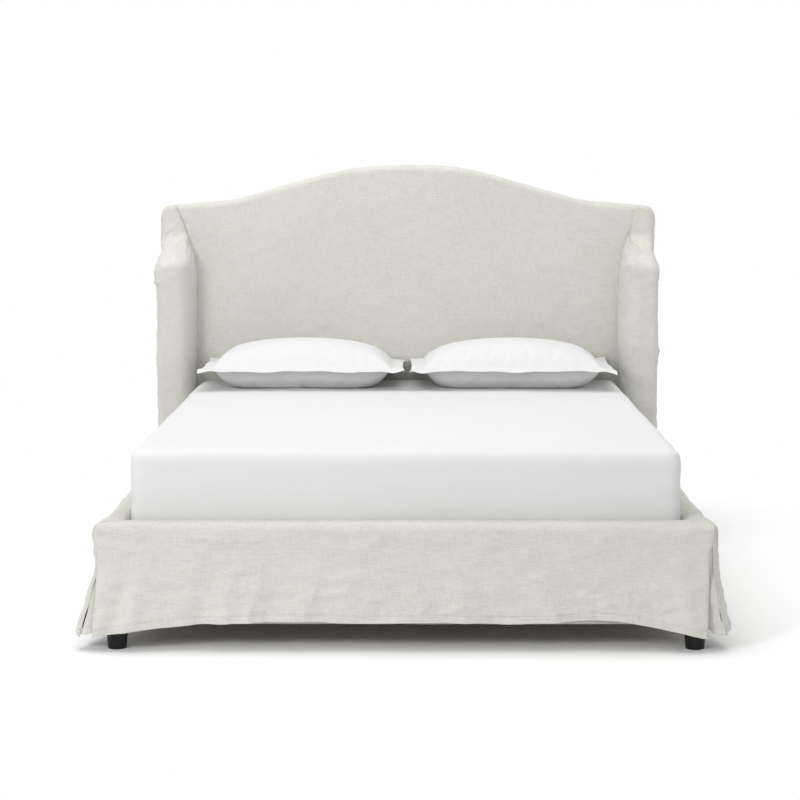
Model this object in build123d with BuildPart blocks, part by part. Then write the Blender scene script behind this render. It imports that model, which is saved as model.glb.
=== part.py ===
from build123d import *

import os

"""Queen-size wingback bed with a camelback headboard, padded rails and loose linen slipcovers.

Millimetres, +Z up. The origin is on the floor in the middle of the bed; +Y points at the headboard
and +X at the right-hand side seen from the foot. Each piece is written as its own STEP file.
"""

os.makedirs("parts", exist_ok=True)

# Mattress, which sets the size of the frame around it
MATTRESS_W, MATTRESS_L, MATTRESS_H = 1524, 2032, 254
MATTRESS_R = 38
SHEET_T = 2
SHEET_HEM = 150

# Outer size of the bed, whose length follows from the mattress
BED_W, PEAK_Z = 1796, 1320
FOOT_H = 76
COVER_HEM_Z = 77

# Headboard outline, from the middle of the crown out to the corner: radius and turn of each arc
CROWN_R, CROWN_TURN = 1900, 4.5
BROW_R, BROW_TURN = 900, 11.8
SLOPE_LENGTH = 270
VALLEY_R, VALLEY_TURN = 500, 12.3
CORNER_R = 36

# Headboard layers
COVER_T = 3
HEADBOARD_T = 100
HEADBOARD_FOAM_T = 29
EDGE_FOAM_T = 15
FACE_BOARD_T = 6
BACK_BOARD_T = 4
POST_W = 55
RAIL_BOARD_H = 90
TOP_RAIL_Z = 1050
MIDDLE_RAIL_Z = 640
BOTTOM_RAIL_Z = 190
STILE_X = 260
PANEL_Z = 272

# Wings: the side view follows a small convex arc and a larger concave one up to the headboard
WING_T, WING_REACH = 128, 172
WING_FOAM_T = 27
WING_ROLL_R = 50
WING_FRONT_TOP = 925
WING_CONVEX_R, WING_CONCAVE_R, WING_TURN = 60, 140, 78.5
WING_PLY_T = 12
WING_STUD_T = 45
WING_STUD_TOP = 860

# Rails, hollow inside except for their solid ends
RAIL_TOP, RAIL_T = 353, 82
RAIL_ROLL_R = 28
RAIL_TOP_FOAM, RAIL_LINING_T = 15, 5
RAIL_GAP, FOOT_RAIL_GAP, HEAD_GAP = 4, 6, 2
BEAM_T, BEAM_WALL, BEAM_END = 60, 12, 110
TUCK = 50
PLEAT_W, PLEAT_TOP, PLEAT_HEM_Z = 90, 300, 76

# Mattress deck
DECK_Z = 287
SLAT_COUNT, SLAT_W, SLAT_T, SLAT_HALF = 14, 89, 19, 764
SLAT_FIRST_Y, SLAT_LAST_Y = -970, 955
WEBBING_X, WEBBING_W, WEBBING_T = 500, 25, 1
LEDGE_W, LEDGE_H = 34, 40
CENTER_BEAM_W, CENTER_BEAM_H = 40, 70
LEG_Y = {"foot": -680, "middle": 0, "head": 680}
LEG_R, LEG_BOTTOM, LEG_SOCKET = 19, 25, 42
STUD_R, STUD_CLEARANCE, STUD_TOP = 5, 0.08, 60
GLIDE_R, GLIDE_T = 22, 10

# Feet, brackets and bolts
FOOT_TOP_R, FOOT_BOTTOM_R, FOOT_EDGE_R = 33, 25.5, 2
FOOT_X, REAR_FOOT_X, REAR_FOOT_SETBACK = 794, 772, 42
PLATE_T, HANGER_L = 3, 28
BRACKET_L, BRACKET_Z = 60, (90, 220)
SCREW_R, SCREW_INSET, SCREW_HEAD_R, SCREW_HEAD_T = 3, 30, 5, 2.5
BOLT_R, BOLT_L, BOLT_INSET, BOLT_HEAD_R, BOLT_HEAD_T = 4, 100, 11, 8, 5
FIT, RAIL_CLEARANCE = 0.2, 1
NEAR = 1

# Pillows, one on each side
PILLOW_W, PILLOW_D, PILLOW_H = 620, 395, 172
PILLOW_X, PILLOW_Y = 366, 758
FLANGE, FLANGE_T, FLANGE_RISE = 48, 3, 78
CASE_T = 1.5
REST_GAP = 0.5

# Derived places
BED_L = HEADBOARD_T + HEAD_GAP + MATTRESS_L + FOOT_RAIL_GAP + RAIL_T
HALF_W, BACK_Y, FOOT_Y = BED_W / 2, BED_L / 2, -BED_L / 2
FACE_Y = BACK_Y - HEADBOARD_T
SIDE = EDGE_FOAM_T + COVER_T
FRAME_BACK_Y = BACK_Y - COVER_T - BACK_BOARD_T
FRAME_FRONT_Y = FACE_Y + COVER_T + HEADBOARD_FOAM_T
CORE_FRONT_Y = FRAME_FRONT_Y + FACE_BOARD_T
CORE_Y = (CORE_FRONT_Y, FRAME_BACK_Y)
WING_FRONT_Y, WING_IN = FACE_Y - WING_REACH, HALF_W - WING_T
WING_INSET = COVER_T + WING_FOAM_T
WING_FRAME_IN, WING_FRAME_OUT = WING_IN + WING_INSET, HALF_W - SIDE
WING_FRAME_FRONT_Y = WING_FRONT_Y + WING_INSET
RAIL_IN = MATTRESS_W / 2 + RAIL_GAP
RAIL_OUT = RAIL_IN + RAIL_T
BEAM_IN = RAIL_IN + COVER_T + RAIL_LINING_T
BEAM_OUT, BEAM_TOP = BEAM_IN + BEAM_T, RAIL_TOP - COVER_T - RAIL_TOP_FOAM
MATTRESS_BACK_Y = FACE_Y - HEAD_GAP
MATTRESS_FRONT_Y = MATTRESS_BACK_Y - MATTRESS_L
FOOT_RAIL_IN_Y = FOOT_Y + RAIL_T
FOOT_BEAM_IN_Y = FOOT_RAIL_IN_Y - COVER_T - RAIL_LINING_T
FOOT_BEAM_OUT_Y = FOOT_BEAM_IN_Y - BEAM_T
RAIL_END_Y = WING_FRONT_Y - RAIL_CLEARANCE
BEAM_END_Y = WING_FRAME_FRONT_Y
LEDGE_TOP = DECK_Z - SLAT_T
MATTRESS_TOP = DECK_Z + REST_GAP + MATTRESS_H
BELOW = 200
BOLT_X, BOLT_Z = WING_FRAME_IN + WING_PLY_T + BOLT_INSET, (140, 250)
POST_BOLT_Y, POST_BOLT_Z = (CORE_Y[0] + CORE_Y[1]) / 2, (420, 580, 900)


def block(x, y, z, mode=Mode.ADD):
    """A box between two limits on each axis."""
    with Locations(((x[0] + x[1]) / 2, (y[0] + y[1]) / 2, (z[0] + z[1]) / 2)):
        Box(x[1] - x[0], y[1] - y[0], z[1] - z[0], mode=mode)


def rods(places, direction, radius, length, mode=Mode.ADD):
    """Equal round rods that start at the places and run along one direction."""
    for place in places:
        with Locations(Plane(origin=place, z_dir=direction)):
            Cylinder(radius, length, align=(Align.CENTER, Align.CENTER, Align.MIN), mode=mode)


def save(part, name):
    """Labels a finished piece and writes its STEP file."""
    part.label = name
    export_step(part, f"parts/{name}.step")


def save_pair(right, name):
    """Writes a right-hand piece and its mirror image, named with _right and _left."""
    save(right, f"{name}_right")
    with BuildPart() as left:
        mirror(right, about=Plane.YZ)
    save(left.part, f"{name}_left")


def camelback(inset, front_y, back_y, bottom):
    """A slab with the headboard's outline, its edges inset, between two depths and above bottom."""
    with BuildPart() as slab:
        with BuildSketch(Plane.XZ.offset(-back_y)):
            with BuildLine():
                crown = JernArc((0, PEAK_Z), (1, 0), CROWN_R, -CROWN_TURN)
                brow = JernArc(crown @ 1, crown % 1, BROW_R, -BROW_TURN)
                slope = Line(brow @ 1, brow @ 1 + SLOPE_LENGTH * (brow % 1))
                valley = JernArc(slope @ 1, slope % 1, VALLEY_R, VALLEY_TURN)
                run = (HALF_W - (valley @ 1).X) / (valley % 1).X
                shoulder = Line(valley @ 1, valley @ 1 + run * (valley % 1))
                Polyline(shoulder @ 1, (HALF_W, -BELOW), (0, -BELOW), (0, PEAK_Z))
            half = make_face()
            mirror(about=Plane.YZ)
            tip = half.vertices().group_by(Axis.X)[-1].sort_by(Axis.Y)[-1]
            at_sides = vertices().filter_by(lambda v: abs(abs(v.X) - HALF_W) < NEAR)
            fillet(at_sides.filter_by(lambda v: abs(v.Y - tip.Y) < NEAR), CORNER_R)
            if inset:
                offset(amount=-inset, kind=Kind.INTERSECTION, mode=Mode.REPLACE)
        extrude(amount=back_y - front_y)
        split(bisect_by=Plane.XY.offset(bottom), keep=Keep.TOP)
    return slab.part


def wing_profile(inset, x_in, x_out, bottom):
    """A right-hand wing seen from the side, its front edge inset, between two widths."""
    front_y = WING_FRONT_Y + inset
    with BuildPart() as wing:
        with BuildSketch(Plane.YZ.offset(x_in)):
            with BuildLine():
                front = Line((front_y, bottom), (front_y, WING_FRONT_TOP))
                convex = JernArc(front @ 1, (0, 1), WING_CONVEX_R - inset, -WING_TURN)
                concave = JernArc(convex @ 1, convex % 1, WING_CONCAVE_R + inset, WING_TURN)
                top = Line(concave @ 1, ((concave @ 1).X, PEAK_Z))
                Polyline(top @ 1, (BACK_Y, PEAK_Z), (BACK_Y, bottom), (front_y, bottom))
            make_face()
        extrude(amount=x_out - x_in)
    return wing.part


def wing_body(inset, bottom):
    """A whole right-hand wing, its outer faces inset, with a rolled front edge and its back at BACK_Y."""
    side = wing_profile(inset, WING_IN, HALF_W, bottom)
    outline = camelback(inset, WING_FRONT_Y, BACK_Y, bottom)
    depth = BACK_Y - WING_FRONT_Y - inset
    with BuildPart() as wing:
        with BuildSketch(Plane.XY.offset(bottom)):
            with Locations(((WING_IN + HALF_W) / 2, WING_FRONT_Y + inset + depth / 2)):
                Rectangle(WING_T - 2 * inset, depth)
            fillet(vertices().group_by(Axis.Y)[0], WING_ROLL_R - inset)
        extrude(amount=PEAK_Z - bottom)
        add(side, mode=Mode.INTERSECT)
        add(outline, mode=Mode.INTERSECT)
    return wing.part


# Headboard frame: two posts, three cross rails, and two stiles half-lapped over the middle rail
with BuildPart() as headboard_post:
    block((WING_FRAME_IN - POST_W, WING_FRAME_IN), CORE_Y, (FOOT_H, TOP_RAIL_Z))
    post_bolts = [(WING_FRAME_IN - POST_W, POST_BOLT_Y, z) for z in POST_BOLT_Z]
    rods(post_bolts, (1, 0, 0), BOLT_R + FIT, POST_W, Mode.SUBTRACT)
save_pair(headboard_post.part, "headboard_post")

outline = camelback(SIDE, *CORE_Y, TOP_RAIL_Z)
with BuildPart() as headboard_top_rail:
    block((-WING_FRAME_IN, WING_FRAME_IN), CORE_Y, (TOP_RAIL_Z, PEAK_Z))
    add(outline, mode=Mode.INTERSECT)
save(headboard_top_rail.part, "headboard_top_rail")

POST_IN = WING_FRAME_IN - POST_W
LAP_Y = (CORE_Y[0] + CORE_Y[1]) / 2
MIDDLE_RAIL = (MIDDLE_RAIL_Z, MIDDLE_RAIL_Z + RAIL_BOARD_H)
STILES = [(x - POST_W / 2, x + POST_W / 2) for x in (-STILE_X, STILE_X)]
with BuildPart() as headboard_middle_rail:
    block((-POST_IN, POST_IN), CORE_Y, MIDDLE_RAIL)
    for stile in STILES:
        block(stile, (CORE_Y[0], LAP_Y), MIDDLE_RAIL, Mode.SUBTRACT)
save(headboard_middle_rail.part, "headboard_middle_rail")

with BuildPart() as headboard_bottom_rail:
    block((-POST_IN, POST_IN), CORE_Y, (BOTTOM_RAIL_Z, BOTTOM_RAIL_Z + RAIL_BOARD_H))
save(headboard_bottom_rail.part, "headboard_bottom_rail")

with BuildPart() as headboard_stiles:
    for stile in STILES:
        block(stile, CORE_Y, (BOTTOM_RAIL_Z + RAIL_BOARD_H, TOP_RAIL_Z))
        block(stile, (LAP_Y, CORE_Y[1]), MIDDLE_RAIL, Mode.SUBTRACT)
save(headboard_stiles.part, "headboard_stiles")

# Headboard skins, padding and slipcover
outline = camelback(SIDE, FRAME_FRONT_Y, CORE_FRONT_Y, PANEL_Z)
with BuildPart() as headboard_front_panel:
    block((-WING_FRAME_IN, WING_FRAME_IN), (FRAME_FRONT_Y, CORE_FRONT_Y), (PANEL_Z, PEAK_Z))
    add(outline, mode=Mode.INTERSECT)
save(headboard_front_panel.part, "headboard_front_panel")

headboard_back_panel = camelback(SIDE, FRAME_BACK_Y, FRAME_BACK_Y + BACK_BOARD_T, FOOT_H)
save(headboard_back_panel, "headboard_back_panel")

padded_outline = camelback(COVER_T, FACE_Y + COVER_T, BACK_Y - COVER_T, PANEL_Z)
frame_outline = camelback(SIDE, FRAME_FRONT_Y, BACK_Y, PANEL_Z)
with BuildPart() as headboard_foam:
    block((-WING_IN, WING_IN), (FACE_Y + COVER_T, BACK_Y - COVER_T), (PANEL_Z, PEAK_Z))
    add(padded_outline, mode=Mode.INTERSECT)
    add(frame_outline, mode=Mode.SUBTRACT)
save(headboard_foam.part, "headboard_foam")

cover_outline = camelback(0, FACE_Y, BACK_Y, COVER_HEM_Z)
padded_outline = camelback(COVER_T, FACE_Y + COVER_T, BACK_Y - COVER_T, -BELOW / 2)
with BuildPart() as headboard_cover:
    block((-WING_IN, WING_IN), (FACE_Y, BACK_Y), (COVER_HEM_Z, PEAK_Z))
    add(cover_outline, mode=Mode.INTERSECT)
    add(padded_outline, mode=Mode.SUBTRACT)
    block((-WING_IN, WING_IN), (FACE_Y, BACK_Y - COVER_T), (COVER_HEM_Z, PANEL_Z), Mode.SUBTRACT)
save(headboard_cover.part, "headboard_cover")

# Wings: two plywood cheeks on a front stud, padded all over; the end of the side rail goes in at the front
wing_outline = camelback(SIDE, WING_FRONT_Y, FRAME_BACK_Y, FOOT_H)
inner_cheek = wing_profile(WING_INSET, WING_FRAME_IN, WING_FRAME_IN + WING_PLY_T, FOOT_H)
with BuildPart() as wing_inner_panel:
    add(inner_cheek)
    add(wing_outline, mode=Mode.INTERSECT)
    post_bolts = [(WING_FRAME_IN, POST_BOLT_Y, z) for z in POST_BOLT_Z]
    rods(post_bolts, (1, 0, 0), BOLT_R + FIT, WING_PLY_T, Mode.SUBTRACT)
save_pair(wing_inner_panel.part, "wing_inner_panel")

outer_cheek = wing_profile(WING_INSET, WING_FRAME_OUT - WING_PLY_T, WING_FRAME_OUT, FOOT_H)
with BuildPart() as wing_outer_panel:
    add(outer_cheek)
    add(wing_outline, mode=Mode.INTERSECT)
save_pair(wing_outer_panel.part, "wing_outer_panel")

STUD_Y = (WING_FRAME_FRONT_Y, WING_FRAME_FRONT_Y + WING_STUD_T)
with BuildPart() as wing_front_stud:
    block((WING_FRAME_IN + WING_PLY_T, WING_FRAME_OUT - WING_PLY_T), STUD_Y, (FOOT_H, WING_STUD_TOP))
    rods([(BOLT_X, STUD_Y[0], z) for z in BOLT_Z], (0, 1, 0), BOLT_R + FIT, WING_STUD_T, Mode.SUBTRACT)
save_pair(wing_front_stud.part, "wing_front_stud")

RAIL_SLOT_X, RAIL_SLOT_Z = (0, BEAM_OUT + RAIL_CLEARANCE), (0, BEAM_TOP + RAIL_CLEARANCE)
RAIL_SLOT = (RAIL_SLOT_X, (RAIL_END_Y, WING_FRAME_FRONT_Y), RAIL_SLOT_Z)
padded_wing = wing_body(COVER_T, FOOT_H)
wing_core = wing_profile(WING_INSET, WING_FRAME_IN, WING_FRAME_OUT, FOOT_H)
with BuildPart() as wing_hollow:
    add(wing_core)
    add(wing_outline, mode=Mode.INTERSECT)
with BuildPart() as wing_foam:
    add(padded_wing)
    add(wing_hollow.part, mode=Mode.SUBTRACT)
    block((WING_IN, HALF_W), (FRAME_BACK_Y, BACK_Y), (FOOT_H, PEAK_Z), Mode.SUBTRACT)
    block((WING_IN, WING_FRAME_IN), (FRAME_FRONT_Y, BACK_Y), (FOOT_H, PEAK_Z), Mode.SUBTRACT)
    block(*RAIL_SLOT, Mode.SUBTRACT)
save_pair(wing_foam.part, "wing_foam")

covered_wing = wing_body(0, COVER_HEM_Z)
padded_wing = wing_body(COVER_T, 0)
with BuildPart() as wing_filling:
    add(padded_wing)
    block((WING_IN, HALF_W), (BACK_Y - COVER_T, BACK_Y), (0, PEAK_Z), Mode.SUBTRACT)
with BuildPart() as wing_cover:
    add(covered_wing)
    add(wing_filling.part, mode=Mode.SUBTRACT)
    block((WING_IN, WING_IN + COVER_T), (FACE_Y, BACK_Y - COVER_T), (COVER_HEM_Z, PEAK_Z), Mode.SUBTRACT)
    block(*RAIL_SLOT, Mode.SUBTRACT)
save_pair(wing_cover.part, "wing_cover")


SIDE_RAIL_PLANE = Plane((RAIL_OUT, FOOT_Y, 0), x_dir=(-1, 0, 0), z_dir=(0, 1, 0))
FOOT_RAIL_PLANE = Plane((-RAIL_OUT, FOOT_Y, 0), x_dir=(0, 1, 0), z_dir=(1, 0, 0))


def rail_bar(plane, length, inset, bottom):
    """A rail's outer shape, inset all round, with a rolled top; the plane lies across its end."""
    with BuildPart() as bar:
        with BuildSketch(plane):
            with Locations((RAIL_T / 2, (bottom + RAIL_TOP - inset) / 2)):
                Rectangle(RAIL_T - 2 * inset, RAIL_TOP - inset - bottom)
            fillet(vertices().group_by(Axis.Z)[-1], RAIL_ROLL_R - inset)
        extrude(amount=length)
    return bar.part


def mitre_wedge():
    """What lies on the foot rail's side of the two mitred foot corners."""
    with BuildPart() as wedge:
        with BuildSketch():
            with BuildLine():
                outer = (RAIL_OUT + RAIL_T, FOOT_Y - RAIL_T)
                inner = (RAIL_IN - RAIL_T, FOOT_RAIL_IN_Y + RAIL_T)
                Polyline((-outer[0], outer[1]), outer, inner, (-inner[0], inner[1]), close=True)
            make_face()
        extrude(amount=PEAK_Z)
    return wedge.part


# Rails: hollow plywood boxes, open below, with solid blocks at their ends
BEAM_Z = (FOOT_H, BEAM_TOP)
HOLLOW_Z = (FOOT_H, BEAM_TOP - BEAM_WALL)
with BuildPart() as side_rail:
    block((BEAM_IN, BEAM_OUT), (FOOT_BEAM_IN_Y, BEAM_END_Y), BEAM_Z)
    hollow_y = (FOOT_BEAM_IN_Y + BEAM_END, BEAM_END_Y - BEAM_END)
    block((BEAM_IN + BEAM_WALL, BEAM_OUT - BEAM_WALL), hollow_y, HOLLOW_Z, Mode.SUBTRACT)
    rods([(BOLT_X, BEAM_END_Y, z) for z in BOLT_Z], (0, -1, 0), BOLT_R + FIT, BOLT_L, Mode.SUBTRACT)
save_pair(side_rail.part, "side_rail")

with BuildPart() as foot_rail:
    block((-BEAM_OUT, BEAM_OUT), (FOOT_BEAM_OUT_Y, FOOT_BEAM_IN_Y), BEAM_Z)
    hollow_x = (BEAM_END - BEAM_OUT, BEAM_OUT - BEAM_END)
    block(hollow_x, (FOOT_BEAM_OUT_Y + BEAM_WALL, FOOT_BEAM_IN_Y - BEAM_WALL), HOLLOW_Z, Mode.SUBTRACT)
save(foot_rail.part, "foot_rail")

# Rail padding and slipcover, mitred at the foot corners, with a kick pleat behind each corner
WEDGE = mitre_wedge()
SIDE_LENGTH = RAIL_END_Y - FOOT_Y
UNLINED_Z = (0, RAIL_TOP - TUCK)
PLEAT_LAYER = (RAIL_OUT - 2 * COVER_T, RAIL_OUT - COVER_T)
PLEAT_Y = (FOOT_Y + COVER_T, FOOT_Y + 2 * COVER_T)
PLEAT_END_Y, PLEAT_Z = FOOT_Y + PLEAT_W, (PLEAT_HEM_Z, PLEAT_TOP)
side_padding = rail_bar(SIDE_RAIL_PLANE, SIDE_LENGTH, COVER_T, FOOT_H)
with BuildPart() as side_rail_foam:
    add(side_padding)
    add(WEDGE, mode=Mode.SUBTRACT)
    block((BEAM_IN, BEAM_OUT), (FOOT_Y, BACK_Y), BEAM_Z, Mode.SUBTRACT)
    block((0, BEAM_OUT), (FOOT_Y, FOOT_BEAM_IN_Y), BEAM_Z, Mode.SUBTRACT)
    block((0, BEAM_IN), (FOOT_Y, BACK_Y), UNLINED_Z, Mode.SUBTRACT)
    block(PLEAT_LAYER, (FOOT_Y, PLEAT_END_Y), PLEAT_Z, Mode.SUBTRACT)
save_pair(side_rail_foam.part, "side_rail_foam")

foot_padding = rail_bar(FOOT_RAIL_PLANE, 2 * RAIL_OUT, COVER_T, FOOT_H)
with BuildPart() as foot_rail_foam:
    add(foot_padding)
    add(WEDGE, mode=Mode.INTERSECT)
    block((-BEAM_OUT, BEAM_OUT), (FOOT_BEAM_OUT_Y, FOOT_BEAM_IN_Y), BEAM_Z, Mode.SUBTRACT)
    block((-BEAM_OUT, BEAM_OUT), (FOOT_BEAM_IN_Y, BACK_Y), UNLINED_Z, Mode.SUBTRACT)
    for end in (-RAIL_OUT, RAIL_OUT - PLEAT_W):
        block((end, end + PLEAT_W), PLEAT_Y, PLEAT_Z, Mode.SUBTRACT)
save(foot_rail_foam.part, "foot_rail_foam")

side_outside = rail_bar(SIDE_RAIL_PLANE, SIDE_LENGTH, 0, COVER_HEM_Z)
side_inside = rail_bar(SIDE_RAIL_PLANE, SIDE_LENGTH, COVER_T, 0)
with BuildPart() as side_cover:
    add(side_outside)
    add(side_inside, mode=Mode.SUBTRACT)
    block((0, RAIL_OUT - RAIL_T / 2), (FOOT_Y, BACK_Y), UNLINED_Z, Mode.SUBTRACT)
    add(WEDGE, mode=Mode.SUBTRACT)
save_pair(side_cover.part, "side_cover")

foot_outside = rail_bar(FOOT_RAIL_PLANE, 2 * RAIL_OUT, 0, COVER_HEM_Z)
foot_inside = rail_bar(FOOT_RAIL_PLANE, 2 * RAIL_OUT, COVER_T, 0)
with BuildPart() as foot_cover:
    add(foot_outside)
    add(foot_inside, mode=Mode.SUBTRACT)
    block((-RAIL_OUT, RAIL_OUT), (FOOT_Y + RAIL_T / 2, BACK_Y), UNLINED_Z, Mode.SUBTRACT)
    add(WEDGE, mode=Mode.INTERSECT)
save(foot_cover.part, "foot_cover")

with BuildPart() as corner_pleat:
    block((RAIL_OUT - PLEAT_W, PLEAT_LAYER[1]), PLEAT_Y, PLEAT_Z)
    block(PLEAT_LAYER, (PLEAT_Y[0], PLEAT_END_Y), PLEAT_Z)
save_pair(corner_pleat.part, "corner_pleat")

# Deck: ledges on the side rails, a centre beam in steel hangers, and slats joined by two webbing tapes
LEDGE_Z = (LEDGE_TOP - LEDGE_H, LEDGE_TOP)
with BuildPart() as slat_ledge:
    block((BEAM_IN - LEDGE_W, BEAM_IN), (FOOT_BEAM_IN_Y + PLATE_T, FACE_Y), LEDGE_Z)
    block((WING_IN - RAIL_CLEARANCE, BEAM_IN), (RAIL_END_Y, FACE_Y), LEDGE_Z, Mode.SUBTRACT)
save_pair(slat_ledge.part, "slat_ledge")

HALF_BEAM = CENTER_BEAM_W / 2
BEAM_BOTTOM = LEDGE_TOP - CENTER_BEAM_H
BEAM_Y = (FOOT_BEAM_IN_Y + PLATE_T, CORE_FRONT_Y - PLATE_T)
with BuildPart() as center_beam:
    block((-HALF_BEAM, HALF_BEAM), BEAM_Y, (BEAM_BOTTOM, LEDGE_TOP))
save(center_beam.part, "center_beam")

with BuildPart() as beam_hangers:
    for end, inward in ((FOOT_BEAM_IN_Y, 1), (CORE_FRONT_Y, -1)):
        depth = sorted((end, end + inward * HANGER_L))
        block((-HALF_BEAM - PLATE_T, HALF_BEAM + PLATE_T), depth, (BEAM_BOTTOM - PLATE_T, LEDGE_TOP))
    block((-HALF_BEAM, HALF_BEAM), BEAM_Y, (BEAM_BOTTOM, LEDGE_TOP), Mode.SUBTRACT)
save(beam_hangers.part, "beam_hangers")

with BuildPart() as slats:
    with GridLocations(0, (SLAT_LAST_Y - SLAT_FIRST_Y) / (SLAT_COUNT - 1), 1, SLAT_COUNT):
        with Locations((0, (SLAT_FIRST_Y + SLAT_LAST_Y) / 2, (LEDGE_TOP + DECK_Z) / 2)):
            Box(2 * SLAT_HALF, SLAT_W, SLAT_T)
save(slats.part, "slats")

with BuildPart() as slat_webbing:
    for x in (-WEBBING_X, WEBBING_X):
        tape = (x - WEBBING_W / 2, x + WEBBING_W / 2)
        block(tape, (SLAT_FIRST_Y, SLAT_LAST_Y), (LEDGE_TOP - WEBBING_T, LEDGE_TOP))
save(slat_webbing.part, "slat_webbing")

# Centre legs, each with a levelling glide on a threaded stud
for place, y in LEG_Y.items():
    with BuildPart() as center_leg:
        rods([(0, y, LEG_BOTTOM)], (0, 0, 1), LEG_R, BEAM_BOTTOM - LEG_BOTTOM)
        rods([(0, y, LEG_BOTTOM)], (0, 0, 1), STUD_R + STUD_CLEARANCE, LEG_SOCKET, Mode.SUBTRACT)
    save(center_leg.part, f"center_leg_{place}")
    with BuildPart() as leg_glide:
        rods([(0, y, 0)], (0, 0, 1), GLIDE_R, GLIDE_T)
        rods([(0, y, GLIDE_T)], (0, 0, 1), STUD_R, STUD_TOP - GLIDE_T)
    save(leg_glide.part, f"leg_glide_{place}")

# Round tapered feet
FOOT_PLACES = {
    "foot_front": (FOOT_X, (FOOT_BEAM_IN_Y + FOOT_BEAM_OUT_Y) / 2),
    "foot_head": (REAR_FOOT_X, BACK_Y - REAR_FOOT_SETBACK),
}
for name, (x, y) in FOOT_PLACES.items():
    with BuildPart() as foot:
        with Locations((x, y, FOOT_H / 2)):
            Cone(FOOT_BOTTOM_R, FOOT_TOP_R, FOOT_H)
        fillet(foot.edges().sort_by(Axis.Z)[0], FOOT_EDGE_R)
    save_pair(foot.part, name)

# Steel angle brackets inside the foot corners, with screws, and the bolts of the wings and rails
with BuildPart() as bracket:
    block((BEAM_IN - PLATE_T, BEAM_IN), (FOOT_BEAM_IN_Y, FOOT_BEAM_IN_Y + BRACKET_L), BRACKET_Z)
    block((BEAM_IN - BRACKET_L, BEAM_IN), (FOOT_BEAM_IN_Y, FOOT_BEAM_IN_Y + PLATE_T), BRACKET_Z)
    screw_z = [BRACKET_Z[0] + SCREW_INSET, BRACKET_Z[1] - SCREW_INSET]
    side_screws = [(BEAM_IN - PLATE_T, FOOT_BEAM_IN_Y + BRACKET_L / 2, z) for z in screw_z]
    foot_screws = [(BEAM_IN - BRACKET_L / 2, FOOT_BEAM_IN_Y + PLATE_T, z) for z in screw_z]
    rods(side_screws, (1, 0, 0), SCREW_R, PLATE_T, Mode.SUBTRACT)
    rods(foot_screws, (0, -1, 0), SCREW_R, PLATE_T, Mode.SUBTRACT)
with BuildPart() as corner_brackets:
    add(bracket.part)
    mirror(bracket.part, about=Plane.YZ)
save(corner_brackets.part, "corner_brackets")

with BuildPart() as screws:
    rods(side_screws, (1, 0, 0), SCREW_R, PLATE_T)
    rods(side_screws, (-1, 0, 0), SCREW_HEAD_R, SCREW_HEAD_T)
    rods(foot_screws, (0, -1, 0), SCREW_R, PLATE_T)
    rods(foot_screws, (0, 1, 0), SCREW_HEAD_R, SCREW_HEAD_T)
with BuildPart() as bracket_screws:
    add(screws.part)
    mirror(screws.part, about=Plane.YZ)
save(bracket_screws.part, "bracket_screws")

with BuildPart() as bolts:
    for z in BOLT_Z:
        rods([(BOLT_X, STUD_Y[1], z)], (0, -1, 0), BOLT_R, BOLT_L)
        rods([(BOLT_X, STUD_Y[1], z)], (0, 1, 0), BOLT_HEAD_R, BOLT_HEAD_T)
    for z in POST_BOLT_Z:
        rods([(POST_IN, POST_BOLT_Y, z)], (1, 0, 0), BOLT_R, POST_W + WING_PLY_T)
        rods([(POST_IN, POST_BOLT_Y, z)], (-1, 0, 0), BOLT_HEAD_R, BOLT_HEAD_T)
with BuildPart() as frame_bolts:
    add(bolts.part)
    mirror(bolts.part, about=Plane.YZ)
save(frame_bolts.part, "frame_bolts")

# Mattress in a fitted sheet
MATTRESS_X = (-MATTRESS_W / 2, MATTRESS_W / 2)
MATTRESS_Y = (MATTRESS_FRONT_Y, MATTRESS_BACK_Y)
MATTRESS_Z = (DECK_Z + REST_GAP, MATTRESS_TOP)


def shrunk(limits, inset):
    """The limits moved inwards at both ends."""
    return limits[0] + inset, limits[1] - inset


with BuildPart() as mattress:
    block(shrunk(MATTRESS_X, SHEET_T), shrunk(MATTRESS_Y, SHEET_T), shrunk(MATTRESS_Z, SHEET_T))
    fillet(mattress.edges(), MATTRESS_R - SHEET_T)
save(mattress.part, "mattress")

with BuildPart() as fitted_sheet:
    block(MATTRESS_X, MATTRESS_Y, MATTRESS_Z)
    fillet(fitted_sheet.edges(), MATTRESS_R)
    add(mattress.part, mode=Mode.SUBTRACT)
    bottom = (MATTRESS_Z[0], MATTRESS_Z[0] + SHEET_T)
    block(shrunk(MATTRESS_X, SHEET_HEM), shrunk(MATTRESS_Y, SHEET_HEM), bottom, Mode.SUBTRACT)
save(fitted_sheet.part, "fitted_sheet")

# Pillows in flanged cases
PILLOW_Z = (MATTRESS_TOP + REST_GAP, MATTRESS_TOP + REST_GAP + PILLOW_H)
PILLOW_SIDES = (PILLOW_X - PILLOW_W / 2, PILLOW_X + PILLOW_W / 2)
PILLOW_ENDS = (PILLOW_Y - PILLOW_D / 2, PILLOW_Y + PILLOW_D / 2)
FLANGE_Z = (PILLOW_Z[0] + FLANGE_RISE, PILLOW_Z[0] + FLANGE_RISE + FLANGE_T)
with BuildPart() as pillow:
    block(shrunk(PILLOW_SIDES, CASE_T), shrunk(PILLOW_ENDS, CASE_T), shrunk(PILLOW_Z, CASE_T))
    fillet(pillow.edges(), PILLOW_H / 2 - 2 * CASE_T)
save_pair(pillow.part, "pillow")

with BuildPart() as pillowcase:
    block(PILLOW_SIDES, PILLOW_ENDS, PILLOW_Z)
    fillet(pillowcase.edges(), PILLOW_H / 2 - CASE_T)
    block(shrunk(PILLOW_SIDES, -FLANGE), shrunk(PILLOW_ENDS, -FLANGE), FLANGE_Z)
    add(pillow.part, mode=Mode.SUBTRACT)
save_pair(pillowcase.part, "pillowcase")
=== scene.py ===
import math

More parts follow.
